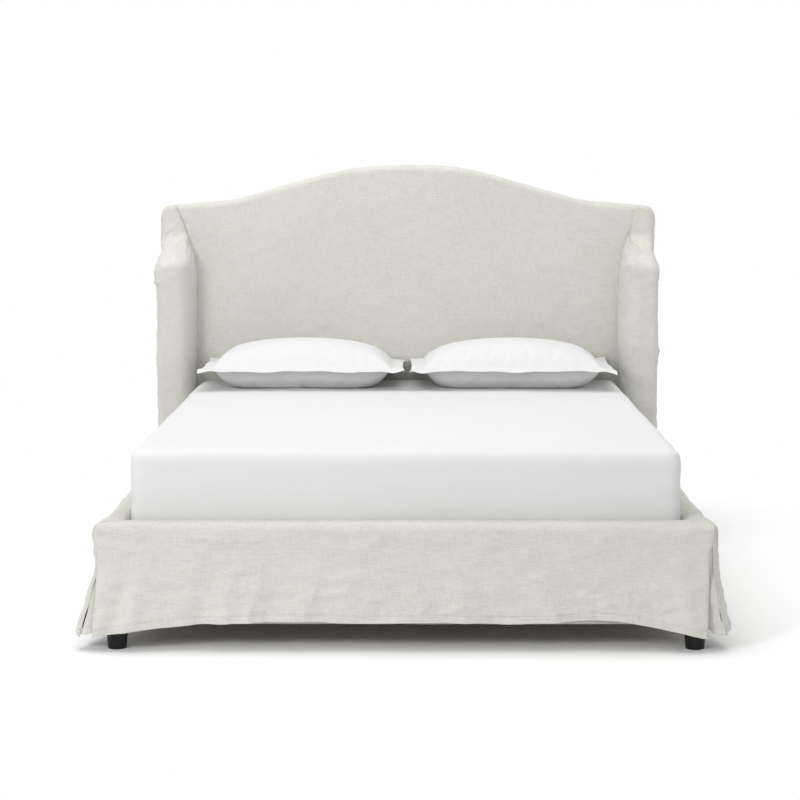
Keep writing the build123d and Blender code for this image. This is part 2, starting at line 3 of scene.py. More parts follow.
import bmesh
import bpy
import numpy as np
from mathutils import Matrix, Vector


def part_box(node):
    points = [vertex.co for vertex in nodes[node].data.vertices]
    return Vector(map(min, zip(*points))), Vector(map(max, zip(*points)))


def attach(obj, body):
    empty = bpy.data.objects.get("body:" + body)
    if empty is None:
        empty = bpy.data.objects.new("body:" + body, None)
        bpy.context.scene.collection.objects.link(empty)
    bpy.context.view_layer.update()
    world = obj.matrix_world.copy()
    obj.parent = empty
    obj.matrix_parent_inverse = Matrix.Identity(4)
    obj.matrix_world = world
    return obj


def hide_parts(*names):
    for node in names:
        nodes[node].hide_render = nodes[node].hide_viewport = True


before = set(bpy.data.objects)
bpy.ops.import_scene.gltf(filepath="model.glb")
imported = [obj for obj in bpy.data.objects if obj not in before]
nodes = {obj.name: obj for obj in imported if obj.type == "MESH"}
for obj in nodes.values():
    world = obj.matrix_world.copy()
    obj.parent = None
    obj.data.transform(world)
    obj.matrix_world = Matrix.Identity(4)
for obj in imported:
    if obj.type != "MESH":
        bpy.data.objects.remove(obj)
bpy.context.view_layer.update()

# ----------------------------------------------------------------------
# Headboard slipcover. One sleeve of slubby plain-weave linen, cut to the camelback outline and
# pulled down over the padded panel; its back hangs to a stitched hem near the floor.
# ----------------------------------------------------------------------
CLOTH_T = 0.0022
THREAD_PITCH = 0.0016
HEM_STITCH = 0.020
STITCH_L, STITCH_W = 0.0042, 0.0022


class Wire:
    """A socket in a material. Arithmetic on wires adds Math nodes."""

    def __init__(self, tree, socket):
        self.tree, self.socket = tree, socket

    def math(self, operation, *others):
        return node(self.tree, "Math", {"operation": operation}, [self, *others])

    def __add__(self, other):
        return self.math("ADD", other)

    def __sub__(self, other):
        return self.math("SUBTRACT", other)

    def __rsub__(self, other):
        return node(self.tree, "Math", {"operation": "SUBTRACT"}, [other, self])

    def __mul__(self, other):
        return self.math("MULTIPLY", other)

    __radd__, __rmul__ = __add__, __mul__


def node(tree, kind, settings=None, values=(), output=0):
    """Adds a shader node: its settings first, then its sockets, by order or by name."""
    made = tree.nodes.new("ShaderNode" + kind)
    for name, value in (settings or {}).items():
        if name == "stops":
            ramp = made.color_ramp
            while len(ramp.elements) < len(value):
                ramp.elements.new(0.5)
            for element, (place, colour) in zip(ramp.elements, value):
                element.position = place
                element.color = (*colour, 1)
        else:
            setattr(made, name, value)
    for key, value in values.items() if isinstance(values, dict) else enumerate(values):
        if isinstance(value, Wire):
            tree.links.new(value.socket, made.inputs[key])
        elif isinstance(value, tuple) and len(value) == 3 and made.inputs[key].type == "RGBA":
            made.inputs[key].default_value = (*value, 1)
        else:
            made.inputs[key].default_value = value
    return Wire(tree, made.outputs[output])


def surface(name, **constants):
    """A new material with a Principled surface and its constant sockets."""
    material = bpy.data.materials.new(name)
    material.use_nodes = True
    shader = material.node_tree.nodes["Principled BSDF"]
    for socket, value in constants.items():
        shader.inputs[socket.replace("_", " ")].default_value = value
    return material, material.node_tree, shader


def connect(tree, shader, **wires):
    """Links wires to a shader's sockets, named with underscores for their spaces."""
    for socket, wire in wires.items():
        tree.links.new(wire.socket, shader.inputs[socket.replace("_", " ")])


def finish(tree, shader, colour, relief, strength, depth, mark, rough):
    """Joins up a colour, a relief raised by depth, and a roughness that follows a mark."""
    bump = node(tree, "Bump", None, {"Height": relief, "Strength": strength, "Distance": depth})
    rough = node(tree, "MapRange", None, [mark, *rough])
    connect(tree, shader, Base_Color=colour, Normal=bump, Roughness=rough)


def blend_colours(tree, factor, first, second, blend="MIX"):
    """Mixes two colours, which are wires or plain triples."""
    settings = {"data_type": "RGBA", "blend_type": blend}
    return node(tree, "Mix", settings, {0: factor, 6: first, 7: second}, output=2)


def streaks(tree, place, scale, detail=2.0):
    """Noise stretched by a different scale on each axis, from 0 to 1."""
    stretched = node(tree, "Mapping", {"vector_type": "POINT"}, {"Vector": place, "Scale": scale})
    return node(tree, "TexNoise", None, {"Vector": stretched, "Scale": 1.0, "Detail": detail})


def linen(name, light, dark, stitched=True):
    """Slubby linen: fine plain weave, thick and thin threads both ways, and a stitched hem."""
    material, tree, shader = surface(name, Sheen_Weight=0.25, Sheen_Roughness=0.5, Specular_IOR_Level=0.18)
    place = node(tree, "TexCoord", output=2)
    warp = streaks(tree, place, (620, 26, 1), 3.0)
    weft = streaks(tree, place, (26, 560, 1), 3.0)
    thick = streaks(tree, place, (30, 235, 1), 4.0)
    thick_warp = streaks(tree, place, (230, 24, 1), 4.0)
    u = node(tree, "SeparateXYZ", None, [place], output=0)
    v = node(tree, "SeparateXYZ", None, [place], output=1)
    turn = 2 * math.pi / THREAD_PITCH
    weave = (u * turn).math("SINE") * (v * turn).math("SINE")
    slub = warp * 0.5 + weft * 0.6 + thick * 0.9 + thick_warp * 0.6
    height = slub * 0.6 + weave * 0.08
    tone = node(tree, "MapRange", None, [slub, 1.00, 1.60, 0.0, 1.0])
    cloud = streaks(tree, place, (5, 5, 1), 3.0)
    colour = blend_colours(tree, tone, dark, light)
    colour = blend_colours(tree, node(tree, "MapRange", None, [cloud, 0.35, 0.7, 0.0, 0.28]), colour, light)
    if stitched:
        off_row = (v - HEM_STITCH).math("ABSOLUTE")
        on_row = off_row.math("LESS_THAN", STITCH_W / 2)
        dash = (u * (2 * math.pi / STITCH_L)).math("SINE").math("GREATER_THAN", -0.2)
        stitch = on_row * dash
        height = height - on_row * 0.2 + stitch * 0.35
        # Between the stitches the sunken groove of the sewn row is darkened a little: painted shade in the
        # groove.
        colour = blend_colours(tree, (on_row - stitch) * 0.07, colour, tuple(0.7 * c for c in dark))
    finish(tree, shader, colour, height, 1.0, 0.0032, slub, (1.0, 1.6, 0.95, 0.82))
    return material


def rumple(place, size, seed, stretch=(1, 1, 1)):
    """Smooth random waves of about one size, the same each run, with a spread of about 1."""
    random = np.random.default_rng(seed)
    total = np.zeros(place.shape[:-1])
    count = 22
    for _ in range(count):
        way = random.normal(size=3)
        way *= 2 * math.pi / size * random.uniform(0.6, 1.4) / np.linalg.norm(way) / np.array(stretch, float)
        total += np.sin(place @ way + random.uniform(0, 2 * math.pi))
    return total / math.sqrt(count / 2)


def crease(flat, start, end, width, taper=0.3):
    """A ridge of unit height along a line on the flat cloth, fading towards its ends."""
    start, end = np.array(start, float), np.array(end, float)
    way = end - start
    along = np.clip(((flat - start) @ way) / (way @ way), 0, 1)
    off = np.linalg.norm(flat - start - along[..., None] * way, axis=-1)
    fade = np.clip(np.minimum(along, 1 - along) / taper, 0, 1)
    return np.exp(-((off / width) ** 2)) * fade * fade * (3 - 2 * fade)


def smooth(x, low, high):
    """0 below low, 1 above high, and a smooth step between."""
    t = np.clip((x - low) / (high - low), 0, 1)
    return t * t * (3 - 2 * t)


def grid_normals(points, closed):
    """Unit normals of a grid of points, columns first and then rows."""
    if closed:
        across = np.roll(points, -1, axis=1) - np.roll(points, 1, axis=1)
    else:
        across = np.gradient(points, axis=1)
    normal = np.cross(across, np.gradient(points, axis=0))
    return normal / np.maximum(np.linalg.norm(normal, axis=-1, keepdims=True), 1e-9)


def smooth_object(name, mesh, material):
    """An object from a mesh, with smooth shading and one material."""
    mesh.shade_smooth()
    mesh.materials.append(material)
    made = bpy.data.objects.new(name, mesh)
    bpy.context.scene.collection.objects.link(made)
    return made


def woven(name, points, flat, material, closed=False, flip=False):
    """A mesh from a grid of points, with the flat cloth's metres as its UVs."""
    rows, columns = points.shape[:2]
    spans = columns if closed else columns - 1
    row, column = np.meshgrid(np.arange(rows - 1), np.arange(spans), indexing="ij")
    row, column = row.ravel(), column.ravel()
    beside = (column + 1) % columns
    corners = [(row, column), (row, beside), (row + 1, beside), (row + 1, column)]
    marks = [(row, column), (row, column + 1), (row + 1, column + 1), (row + 1, column)]
    if flip:
        corners, marks = corners[::-1], marks[::-1]
    faces = np.stack([r * columns + c for r, c in corners], axis=1)
    mesh = bpy.data.meshes.new(name)
    mesh.from_pydata(points.reshape(-1, 3).tolist(), [], faces.tolist())
    uv = np.stack([flat[r, c] for r, c in marks], axis=1)
    mesh.uv_layers.new(name="flat").data.foreach_set("uv", uv.astype(np.float32).ravel())
    return smooth_object(name, mesh, material)


def applied(piece):
    """Replaces a piece's mesh with what its modifiers make of it."""
    bpy.context.view_layer.update()
    seen = piece.evaluated_get(bpy.context.evaluated_depsgraph_get())
    mesh = bpy.data.meshes.new_from_object(seen)
    piece.modifiers.clear()
    piece.data = mesh
    mesh.name = piece.name
    return piece


def thickened(piece, thickness=CLOTH_T):
    """Gives a sheet its thickness, inwards from the outer face."""
    solid = piece.modifiers.new("thickness", "SOLIDIFY")
    solid.thickness = thickness
    solid.offset = -1
    return applied(piece)


def lengths(points, axis):
    """Running length along one axis of a grid of points."""
    steps = np.linalg.norm(np.diff(points, axis=axis), axis=-1)
    zero = np.zeros_like(np.take(steps, [0], axis=axis))
    return np.concatenate([zero, np.cumsum(steps, axis=axis)], axis=axis)


def top_edge(xs):
    """Height of the headboard's outline at each x, read from the back of the slipcover."""
    found = []
    for name in ("headboard_cover", "wing_cover_left", "wing_cover_right"):
        co = np.array([v.co for v in nodes[name].data.vertices])
        found.append(co[(co[:, 1] > HEAD_BACK - 1e-4) & (co[:, 2] > 1.0)])
    found = np.concatenate(found)
    found = found[np.argsort(found[:, 0])]
    even = np.linspace(found[0, 0], found[-1, 0], 900)
    level = np.interp(even, found[:, 0], found[:, 2])
    window = np.hanning(15)
    padded = np.pad(level, 7, mode="edge")
    level[20:-20] = np.convolve(padded, window / window.sum(), mode="valid")[20:-20]
    return np.interp(xs, even, level)


HEAD_LOW, HEAD_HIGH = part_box("headboard_cover")
HEAD_FACE, HEAD_BACK = HEAD_LOW.y, HEAD_HIGH.y
PANEL_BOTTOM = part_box("headboard_front_panel")[0].z
HEAD_HALF = HEAD_HIGH.x
WING_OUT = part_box("wing_cover_right")[1].x
HEAD_FRONT_ROLL, HEAD_BACK_ROLL = 0.021, 0.010
SEAM_TUCK, BACK_EASE = 0.004, 0.0035


def seam_out(z):
    """How far the seam with the wing leans outwards at each height."""
    return 0.057 * np.clip((z - 0.90) / 0.245, 0, 1.1) ** 1.75


slip_linen = linen("slipcover_linen", (0.708, 0.702, 0.654), (0.598, 0.590, 0.537))


def roll(radius, steps):
    """A quarter turn from 0 to 90 degrees, without its first point: (along, up) offsets."""
    angle = np.linspace(0, math.pi / 2, steps + 1)[1:]
    return radius * (1 - np.cos(angle)), radius * np.sin(angle)


def headboard_grid():
    """Points of the headboard sleeve: across the panel, up its front and down its back."""
    xs = np.linspace(-HEAD_HALF, HEAD_HALF, 221)
    tops = top_edge(xs)
    columns = []
    over, up = roll(HEAD_FRONT_ROLL, 8)
    back_over, back_up = roll(HEAD_BACK_ROLL, 5)
    for x, top in zip(xs, tops):
        z_front = np.linspace(PANEL_BOTTOM, top - HEAD_FRONT_ROLL, 110)
        ys = [np.full(110, HEAD_FACE), HEAD_FACE + over]
        zs = [z_front, top - HEAD_FRONT_ROLL + up]
        flat_y = np.linspace(HEAD_FACE + HEAD_FRONT_ROLL, HEAD_BACK - HEAD_BACK_ROLL, 8)[1:]
        ys.append(flat_y)
        zs.append(np.full(len(flat_y), top))
        ys.append(HEAD_BACK - (back_over[::-1] - back_over[0])[:-1])
        zs.append(top - HEAD_BACK_ROLL + back_up[::-1][:-1])
        z_back = np.linspace(top - HEAD_BACK_ROLL, HEAD_LOW.z, 90)
        ys.append(np.full(90, HEAD_BACK))
        zs.append(z_back)
        y, z = np.concatenate(ys), np.concatenate(zs)
        out = x / HEAD_HALF * (HEAD_HALF + SEAM_TUCK + seam_out(z))
        columns.append(np.stack([out, y, z + top_edge(out) - top], axis=1))
    return np.stack(columns, axis=1)


points = headboard_grid()
along = lengths(points, 0)
flat = np.stack([points[..., 0], along[-1:] - along], axis=-1)
near_top = np.exp(-((top_edge(points[..., 0]) - points[..., 2]) / 0.05) ** 2)
lift = 0.0016 * rumple(points, 0.34, 3) + 0.0004 * rumple(points, 0.06, 4)
lift += 0.0003 * near_top * rumple(points, 0.09, 5)
at_back = smooth(points[..., 1], HEAD_BACK - 0.012, HEAD_BACK - 0.002)
lift = np.maximum(lift * (1 - 0.4 * at_back) + BACK_EASE * at_back, -0.0002 - 0.01 * (1 - at_back))
points = points + grid_normals(points, False) * lift[..., None]
headboard = woven("headboard_slipcover", points, flat, slip_linen)
thickened(headboard)
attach(headboard, "bedstead")
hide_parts("headboard_cover", "headboard_foam")

# ----------------------------------------------------------------------
# Wing slipcovers. Each wing is a padded plywood box; its linen sleeve is sewn to the headboard's,
# is tight over the scoop at the top, and puckers along the outer seam where it is eased round.
# ----------------------------------------------------------------------
WING_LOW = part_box("wing_cover_right")[0]
WING_REACH, WING_TOP_REACH = HEAD_FACE - WING_LOW.y, 0.012
WING_INNER_ROLL, WING_SCOOP_ROLL = 0.076, 0.050
WING_OUTER_R, WING_BACK_R, WING_TOP_R = 0.024, 0.008, 0.016
SQUARENESS = 0.70
PUCKERS = ((0.93, 0.035, 0.0030, 7), (0.64, 0.030, 0.0020, 5), (0.50, 0.040, 0.0028, 4),
           (0.60, 0.30, 0.0010, 12))


def smoother(x, low, high):
    """Like smooth, with its curvature easing in and out as well."""
    t = np.clip((x - low) / (high - low), 0, 1)
    return t ** 3 * (t * (6 * t - 15) + 10)


def wing_ring(z):
    """The sleeve's outline at one height: back, inner face, nose, outer face, and back again."""
    reach = WING_TOP_REACH + (WING_REACH - WING_TOP_REACH) * (1 - smoother(z, 0.945, 1.085))
    front, inside = HEAD_FACE - reach, HEAD_HALF + seam_out(z)
    roll_x = WING_INNER_ROLL + (WING_SCOOP_ROLL - WING_INNER_ROLL) * smooth(z, 0.89, 0.97)
    roll_x *= min(reach / 0.06, 1)
    outer = min(WING_OUTER_R, 0.6 * (reach + HEAD_BACK - HEAD_FACE))
    turn = np.linspace(0, math.pi / 2, 23)[1:]
    x, y = [np.full(12, inside)], [np.linspace(HEAD_BACK - 0.002, HEAD_FACE, 12)]
    x.append(inside + roll_x * (1 - np.cos(turn).clip(0) ** SQUARENESS))
    y.append(HEAD_FACE - reach * np.sin(turn) ** SQUARENESS)
    x.append(np.linspace(inside + roll_x, WING_OUT - outer, 8)[1:])
    y.append(np.full(7, front))
    turn = np.linspace(0, math.pi / 2, 11)[1:]
    x.append(WING_OUT - outer * (1 - np.sin(turn)))
    y.append(front + outer * (1 - np.cos(turn)))
    y.append(np.linspace(front + outer, HEAD_BACK - WING_BACK_R, 34)[1:])
    x.append(np.full(33, WING_OUT))
    turn = np.linspace(0, math.pi / 2, 5)[1:]
    x.append(WING_OUT - WING_BACK_R * (1 - np.cos(turn)))
    y.append(HEAD_BACK - WING_BACK_R * (1 - np.sin(turn)))
    x.append(np.linspace(WING_OUT - WING_BACK_R, inside + 0.002, 16)[1:-1])
    y.append(np.full(14, HEAD_BACK))
    return np.concatenate(x), np.concatenate(y)


def wing_grid(side, seed):
    """The sleeve as rings that climb the wing and close over its top."""
    floor = WING_LOW.z
    ceiling = top_edge(np.array([HEAD_HALF + 0.06]))[0] - WING_TOP_R
    rings = []
    for z in np.concatenate([np.linspace(floor, 0.80, 60), np.linspace(0.80, ceiling, 100)[1:]]):
        x, y = wing_ring(z)
        share = (z - floor) / (ceiling - floor)
        rings.append(np.stack([x, y, floor + share * (top_edge(x) - WING_TOP_R - floor)], axis=1))
    last = rings[-1]
    middle = np.array([(HEAD_HALF + WING_OUT) / 2 + 0.02, last[:, 1].mean(), 0])
    inwards = middle - last
    inwards[:, 2] = 0
    away = np.linalg.norm(inwards, axis=1, keepdims=True)
    for turn in np.linspace(0, math.pi / 2, 6)[1:]:
        ring = last + inwards / away * WING_TOP_R * (1 - math.cos(turn))
        ring[:, 2] = top_edge(ring[:, 0]) - WING_TOP_R * (1 - math.sin(turn))
        rings.append(ring)
    rim = rings[-1]
    for share in (0.3, 0.6, 0.85, 0.98):
        ring = rim + (middle - rim) * share
        ring[:, 2] = top_edge(ring[:, 0])
        rings.append(ring)
    points = np.stack(rings)
    around = lengths(np.concatenate([points, points[:, :1]], axis=1), 1)[20]
    upwards = np.pad(lengths(points, 0), ((0, 0), (0, 1)), mode="wrap")
    flat = np.stack(np.broadcast_arrays(around[None, :], upwards), axis=-1)
    cloth = np.stack(np.broadcast_arrays(around[None, :-1], points[..., 2]), axis=-1)
    nose, outer_edge = around[36], around[52]
    random = np.random.default_rng(seed)
    lift = 0.0018 * rumple(points, 0.24, seed) + 0.0007 * rumple(points, 0.05, seed + 1)
    for _ in range(16):
        start = (nose + random.uniform(-0.07, 0.05), random.uniform(0.97, 1.06))
        lean, reach = random.uniform(0.5, 1.3), random.uniform(0.04, 0.10)
        end = (start[0] - reach * math.cos(lean), start[1] + reach * math.sin(lean))
        lift += random.uniform(0.0020, 0.0042) * crease(cloth, start, end, random.uniform(0.004, 0.008))
    for centre, spread, size, count in PUCKERS:
        for _ in range(count):
            reach, fall = random.uniform(0.02, 0.06), random.uniform(-0.005, 0.035)
            start = (outer_edge + 0.010, centre + random.uniform(-spread, spread))
            end = (outer_edge - reach, start[1] - fall)
            lift += size * random.uniform(0.5, 1) * crease(cloth, start, end, random.uniform(0.004, 0.008))
    ear_above = cloth[..., 1] - 0.960
    ear = np.exp(-(ear_above / np.where(ear_above > 0, 0.016, 0.036)) ** 2)
    ear *= np.exp(-((cloth[..., 0] - outer_edge) / 0.045) ** 2)
    notch = np.exp(-((cloth[..., 1] - 1.008) / 0.016) ** 2)
    notch = notch * np.exp(-((cloth[..., 0] - outer_edge) / 0.05) ** 2)
    lift = np.maximum(lift, -0.001) + 0.007 * ear - 0.005 * notch
    fade = smooth(len(rings) - 4 - np.arange(len(rings)), 0, 6)
    points = points + grid_normals(points, True) * (lift * fade[:, None])[..., None]
    points[..., 0] *= side
    return points, flat


for side, name, seed in ((1, "right", 11), (-1, "left", 23)):
    points, flat = wing_grid(side, seed)
    wing = woven(f"wing_slipcover_{name}", points, flat, slip_linen, closed=True, flip=side < 0)
    thickened(wing)
    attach(wing, "bedstead")
    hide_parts(f"wing_cover_{name}", f"wing_foam_{name}")

# ----------------------------------------------------------------------
# Rail slipcovers. A strip of linen wraps the top of each padded rail, and its outer drop hangs
# free as a skirt with a stitched hem; the front skirt lifts in the middle and flares at its corners.
# ----------------------------------------------------------------------
RAIL_LOW, RAIL_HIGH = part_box("foot_cover")
SIDE_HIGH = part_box("side_cover_right")[1]
RAIL_HALF = RAIL_HIGH.x
RAIL_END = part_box("side_rail_right")[1].y
FOOT_FACE, RAIL_TOP = RAIL_LOW.y, RAIL_HIGH.z
RAIL_T = RAIL_HIGH.y - RAIL_LOW.y
RAIL_ROLL, SIDE_ROLL = 0.024, 0.046
CORNER_WRAP = 0.030
TUCK = 0.050
CORNER_R = 0.022
SKIRT_BODY_ROWS, SKIRT_HEM_ROWS, HEM_BAND = 56, 18, 0.028


def rail_section(hem, radius):
    """The strip from its hem, up and over the rail to its tucked edge: (in from the face, height)."""
    over, up = roll(radius, 8)
    in_over, in_up = roll(RAIL_ROLL, 8)
    across, height = [np.full(10, RAIL_T)], [np.linspace(RAIL_TOP - TUCK, RAIL_TOP - RAIL_ROLL, 10)]
    across.append(RAIL_T - in_over)
    height.append(RAIL_TOP - RAIL_ROLL + in_up)
    across.append(np.linspace(RAIL_T - RAIL_ROLL, radius, 7)[1:])
    height.append(np.full(6, RAIL_TOP))
    across.append(radius - up)
    height.append(RAIL_TOP - over)
    start = RAIL_TOP - radius
    body = np.linspace(start, hem + HEM_BAND, SKIRT_BODY_ROWS)[1:]
    across.append(np.zeros(len(body) + SKIRT_HEM_ROWS))
    height.append(np.concatenate([body, np.linspace(hem + HEM_BAND, hem, SKIRT_HEM_ROWS + 1)[1:]]))
    return np.concatenate(across)[::-1], np.concatenate(height)[::-1]


def round_corner(points):
    """Rounds the upright foot corners of the skirt where the two covers meet."""
    past_x = np.abs(points[..., 0]) - (RAIL_HALF - CORNER_R)
    past_y = (FOOT_FACE + CORNER_R) - points[..., 1]
    both = (past_x > 0) & (past_y > 0)
    away = np.hypot(past_x, past_y)
    pull = np.where(both & (away > CORNER_R), CORNER_R / np.maximum(away, 1e-6), 1)
    x = RAIL_HALF - CORNER_R + past_x * pull
    y = FOOT_FACE + CORNER_R - past_y * pull
    rounded = points.copy()
    rounded[..., 0] = np.where(both, np.sign(points[..., 0]) * x, points[..., 0])
    rounded[..., 1] = np.where(both, y, points[..., 1])
    return rounded


def hem_profile(flat, phase):
    """A folded hem: a little thicker, with a sewn groove above it, and free puckers along it."""
    v = flat[..., 1]
    band = 0.0010 * (1 - smooth(v, HEM_STITCH - 0.001, HEM_STITCH + 0.002))
    groove = 0.0006 * np.exp(-((v - HEM_STITCH) / 0.0022) ** 2)
    pucker = 0.0008 * np.sin(flat[..., 0] * 2 * math.pi / 0.031 + phase)
    pucker = pucker * np.exp(-((v - HEM_STITCH) / 0.02) ** 2)
    return band - groove + pucker


def loose_folds(flat, seed, count, reach, band):
    """Short creases pressed in at random, in a band of heights above the hem."""
    random = np.random.default_rng(seed)
    total = np.zeros(flat.shape[:2])
    for _ in range(count):
        start = (random.uniform(*reach), random.uniform(*band))
        end = (start[0] + random.uniform(-0.09, 0.09), start[1] + random.uniform(-0.02, 0.06))
        total += random.uniform(0.0010, 0.0032) * crease(flat, start, end, random.uniform(0.006, 0.012))
    return total


RAIL_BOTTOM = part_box("foot_rail")[0].z
FREE_TOP = RAIL_TOP - 0.06


def foot_skirt():
    """The front cover: its hem dips at both ends and lifts between them, over loose folds."""
    shares = np.linspace(-1, 1, 341)
    at = shares * RAIL_HALF
    hem = RAIL_BOTTOM + 0.003 + 0.007 * np.exp(-((at - 0.55) / 0.10) ** 2) + 0.002 * np.sin(at * 15 + 0.6)
    hem += 0.004 * np.exp(-((at + 0.26) / 0.09) ** 2)
    hem -= 0.040 * np.clip((-at - 0.53) / 0.32, 0, 1) ** 1.3
    hem -= 0.040 * np.clip((at - 0.58) / 0.26, 0, 1) ** 1.3
    columns = []
    for share, low in zip(shares, hem):
        across, height = rail_section(low, RAIL_ROLL)
        columns.append(np.stack([share * (RAIL_HALF - across), FOOT_FACE + across, height], axis=1))
    points = np.stack(columns, axis=1)
    flat = np.stack([points[..., 0], lengths(points, 0)], axis=-1)
    outward = grid_normals(points, False)
    x, z = points[..., 0], points[..., 2]
    drop = np.clip((FREE_TOP - z) / 0.22, 0, 1) * (points[..., 1] < FOOT_FACE + 1e-4)
    edge_left, edge_right = smooth(-x, 0.64, RAIL_HALF), smooth(x, 0.66, RAIL_HALF)
    calm = 1 - 0.8 * smooth(z, RAIL_TOP - 0.05, RAIL_TOP - 0.01)
    lift = 0.008 * drop ** 1.3 + 0.0016 * calm * rumple(points, 0.26, 31)
    lift += (0.0014 * calm * rumple(points, 0.045, 32, (2.2, 1, 1))
             + drop ** 1.5 * (0.022 * edge_left + 0.022 * edge_right))
    folds = ((-0.775, 0.020, -0.010), (-0.735, 0.022, 0.008), (-0.545, 0.028, -0.010), (-0.485, 0.030, 0.012),
             (-0.415, 0.022, 0.010), (-0.36, 0.024, -0.006), (-0.27, 0.034, 0.009), (-0.16, 0.04, 0.005),
             (0.02, 0.04, 0.005), (0.14, 0.030, 0.008), (0.215, 0.026, -0.007), (0.38, 0.030, 0.009),
             (0.45, 0.024, -0.006), (0.545, 0.03, 0.006), (0.66, 0.035, -0.006), (0.76, 0.03, 0.009))
    for centre, width, size in folds:
        lean = centre + 0.22 * (0.16 - z) * np.sign(centre)
        lift += size * drop ** 1.2 * np.exp(-((x - lean) / width) ** 2)
    lift += (1.3 * loose_folds(flat, 41, 34, (-0.8, 0.8), (0.01, 0.09))
             + 0.4 * loose_folds(flat, 43, 40, (-0.8, 0.8), (0.1, 0.26)))
    for start, end in (((-0.80, 0.33), (-0.70, 0.300)), ((-0.79, 0.35), (-0.71, 0.315)),
                       ((-0.76, 0.30), (-0.69, 0.285))):
        lift += 0.0035 * crease(flat, start, end, 0.006)
    lift = np.maximum(lift, -0.0008) + hem_profile(flat, 0.4)
    points = round_corner(points) + outward * lift[..., None]
    end_left, end_right = smooth(-x, 0.74, RAIL_HALF), smooth(x, 0.74, RAIL_HALF)
    puff = np.exp(-((z - 0.318) / 0.032) ** 2)
    below = RAIL_TOP - z
    points[..., 0] -= end_left * (0.009 * puff + 0.012 * drop ** 2)
    points[..., 0] -= end_right * (0.012 * smooth(below, 0.045, 0.085) + 0.008 * drop)
    return points, flat


points, flat = foot_skirt()
foot_cover = woven("foot_rail_slipcover", points, flat, slip_linen)
thickened(foot_cover)
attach(foot_cover, "bedstead")
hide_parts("foot_cover")


def side_skirt(side, seed):
    """The cover of one side rail, hanging from the inner top edge to its hem."""
    ends = np.linspace(0, 1, 321)
    back = RAIL_END
    run = ends * (back - FOOT_FACE)
    hem = RAIL_BOTTOM + 0.002 - 0.036 * np.exp(-(run / 0.14) ** 2) + 0.003 * np.sin(run * 9 + seed)
    columns = []
    rolls = RAIL_ROLL + (SIDE_ROLL - RAIL_ROLL) * smooth(run, 0.03, 0.22)
    for share, low, radius in zip(ends, hem, rolls):
        across, height = rail_section(low, radius)
        front = FOOT_FACE + across - CORNER_WRAP * smooth(RAIL_TOP - height, RAIL_ROLL, 0.045) * (across == 0)
        columns.append(np.stack([RAIL_HALF - across, front + share * (back - front), height], axis=1))
    points = np.stack(columns, axis=1)
    flat = np.stack([points[..., 1], lengths(points, 0)], axis=-1)
    outward = grid_normals(points, False)
    y, z = points[..., 1], points[..., 2]
    drop = np.clip((FREE_TOP - z) / 0.22, 0, 1) * (points[..., 0] > RAIL_HALF - 1e-4)
    near_foot = 1 - smooth(y - FOOT_FACE, 0.0, 0.26)
    lift = (0.008 * drop ** 1.3 + 0.0018 * rumple(points, 0.28, seed)
            + 0.0010 * rumple(points, 0.045, seed + 1, (1, 2.2, 1)))
    flare = 0.030 if side > 0 else 0.048
    lift += flare * near_foot * np.clip((0.235 - z) / 0.19, 0, 1) ** 1.15
    random = np.random.default_rng(seed)
    for centre in np.arange(FOOT_FACE + 0.14, back, 0.115):
        centre += random.uniform(-0.03, 0.03)
        size, width = random.choice([-1, 1]) * random.uniform(0.005, 0.011), random.uniform(0.02, 0.04)
        lean = centre + random.uniform(-0.3, 0.3) * (0.16 - z)
        lift += size * drop ** 1.2 * np.exp(-((y - lean) / width) ** 2)
    lift += 0.012 * drop ** 1.2 * np.exp(-((y - FOOT_FACE - 0.045) / 0.012) ** 2)
    lift += loose_folds(flat, seed + 2, 60, (FOOT_FACE + 0.05, back - 0.05), (0.01, 0.2))
    lift = np.maximum(lift, -0.0008) + hem_profile(flat, seed)
    lift = lift * (1 - smooth(y, SIDE_HIGH.y - 0.05, SIDE_HIGH.y))
    points = round_corner(points) + outward * lift[..., None]
    if side < 0:
        on_face = points[..., 0] > RAIL_HALF - 0.03
        points[..., 0] += 0.009 * near_foot * np.exp(-((z - 0.318) / 0.032) ** 2) * on_face
    points[..., 0] *= side
    return points, flat


for side, name, seed in ((1, "right", 51), (-1, "left", 67)):
    points, flat = side_skirt(side, seed)
    cover = woven(f"side_rail_slipcover_{name}", points, flat, slip_linen, flip=side < 0)
    thickened(cover)
    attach(cover, "bedstead")
    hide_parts(f"side_cover_{name}")

# ----------------------------------------------------------------------
# Kick pleats. A spare piece of the same linen, folded round each foot corner behind the two
# skirts, so that the corner can open without a gap.
# ----------------------------------------------------------------------
PLEAT_REACH = 0.085
PLEAT_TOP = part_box("corner_pleat_right")[1].z
PLEAT_HEM = 0.046


def kick_pleat(side, seed):
    """The folded pleat that closes the slit between the foot cover and a side cover."""
    run = np.linspace(-PLEAT_REACH, PLEAT_REACH, 75)
    share = np.concatenate([np.linspace(0, 0.12, 12)[:-1], np.linspace(0.12, 1, 40)])
    low = PLEAT_HEM + 0.028 * smooth(-run, 0.004, 0.05)
    s = np.broadcast_to(run, (len(share), len(run)))
    z = low + share[:, None] * (PLEAT_TOP - low)
    drop = np.clip((0.235 - z) / 0.19, 0, 1) ** 1.15
    x = RAIL_HALF - 0.006 - np.clip(-s, 0, None)
    y = FOOT_FACE + 0.006 + np.clip(s, 0, None)
    points = round_corner(np.stack([x, y, z], axis=-1))
    flare = 0.024 if side > 0 else 0.046
    points[..., 0] += flare * drop * smooth(s, -0.07, 0.012)
    points[..., 1] -= 0.010 * drop * np.exp(-((s + 0.012) / 0.02) ** 2)
    points[..., 0] += 0.0012 * rumple(points, 0.05, seed) * drop
    flat = np.stack([s, z - PLEAT_HEM], axis=-1)
    points[..., 0] *= side
    return points, flat


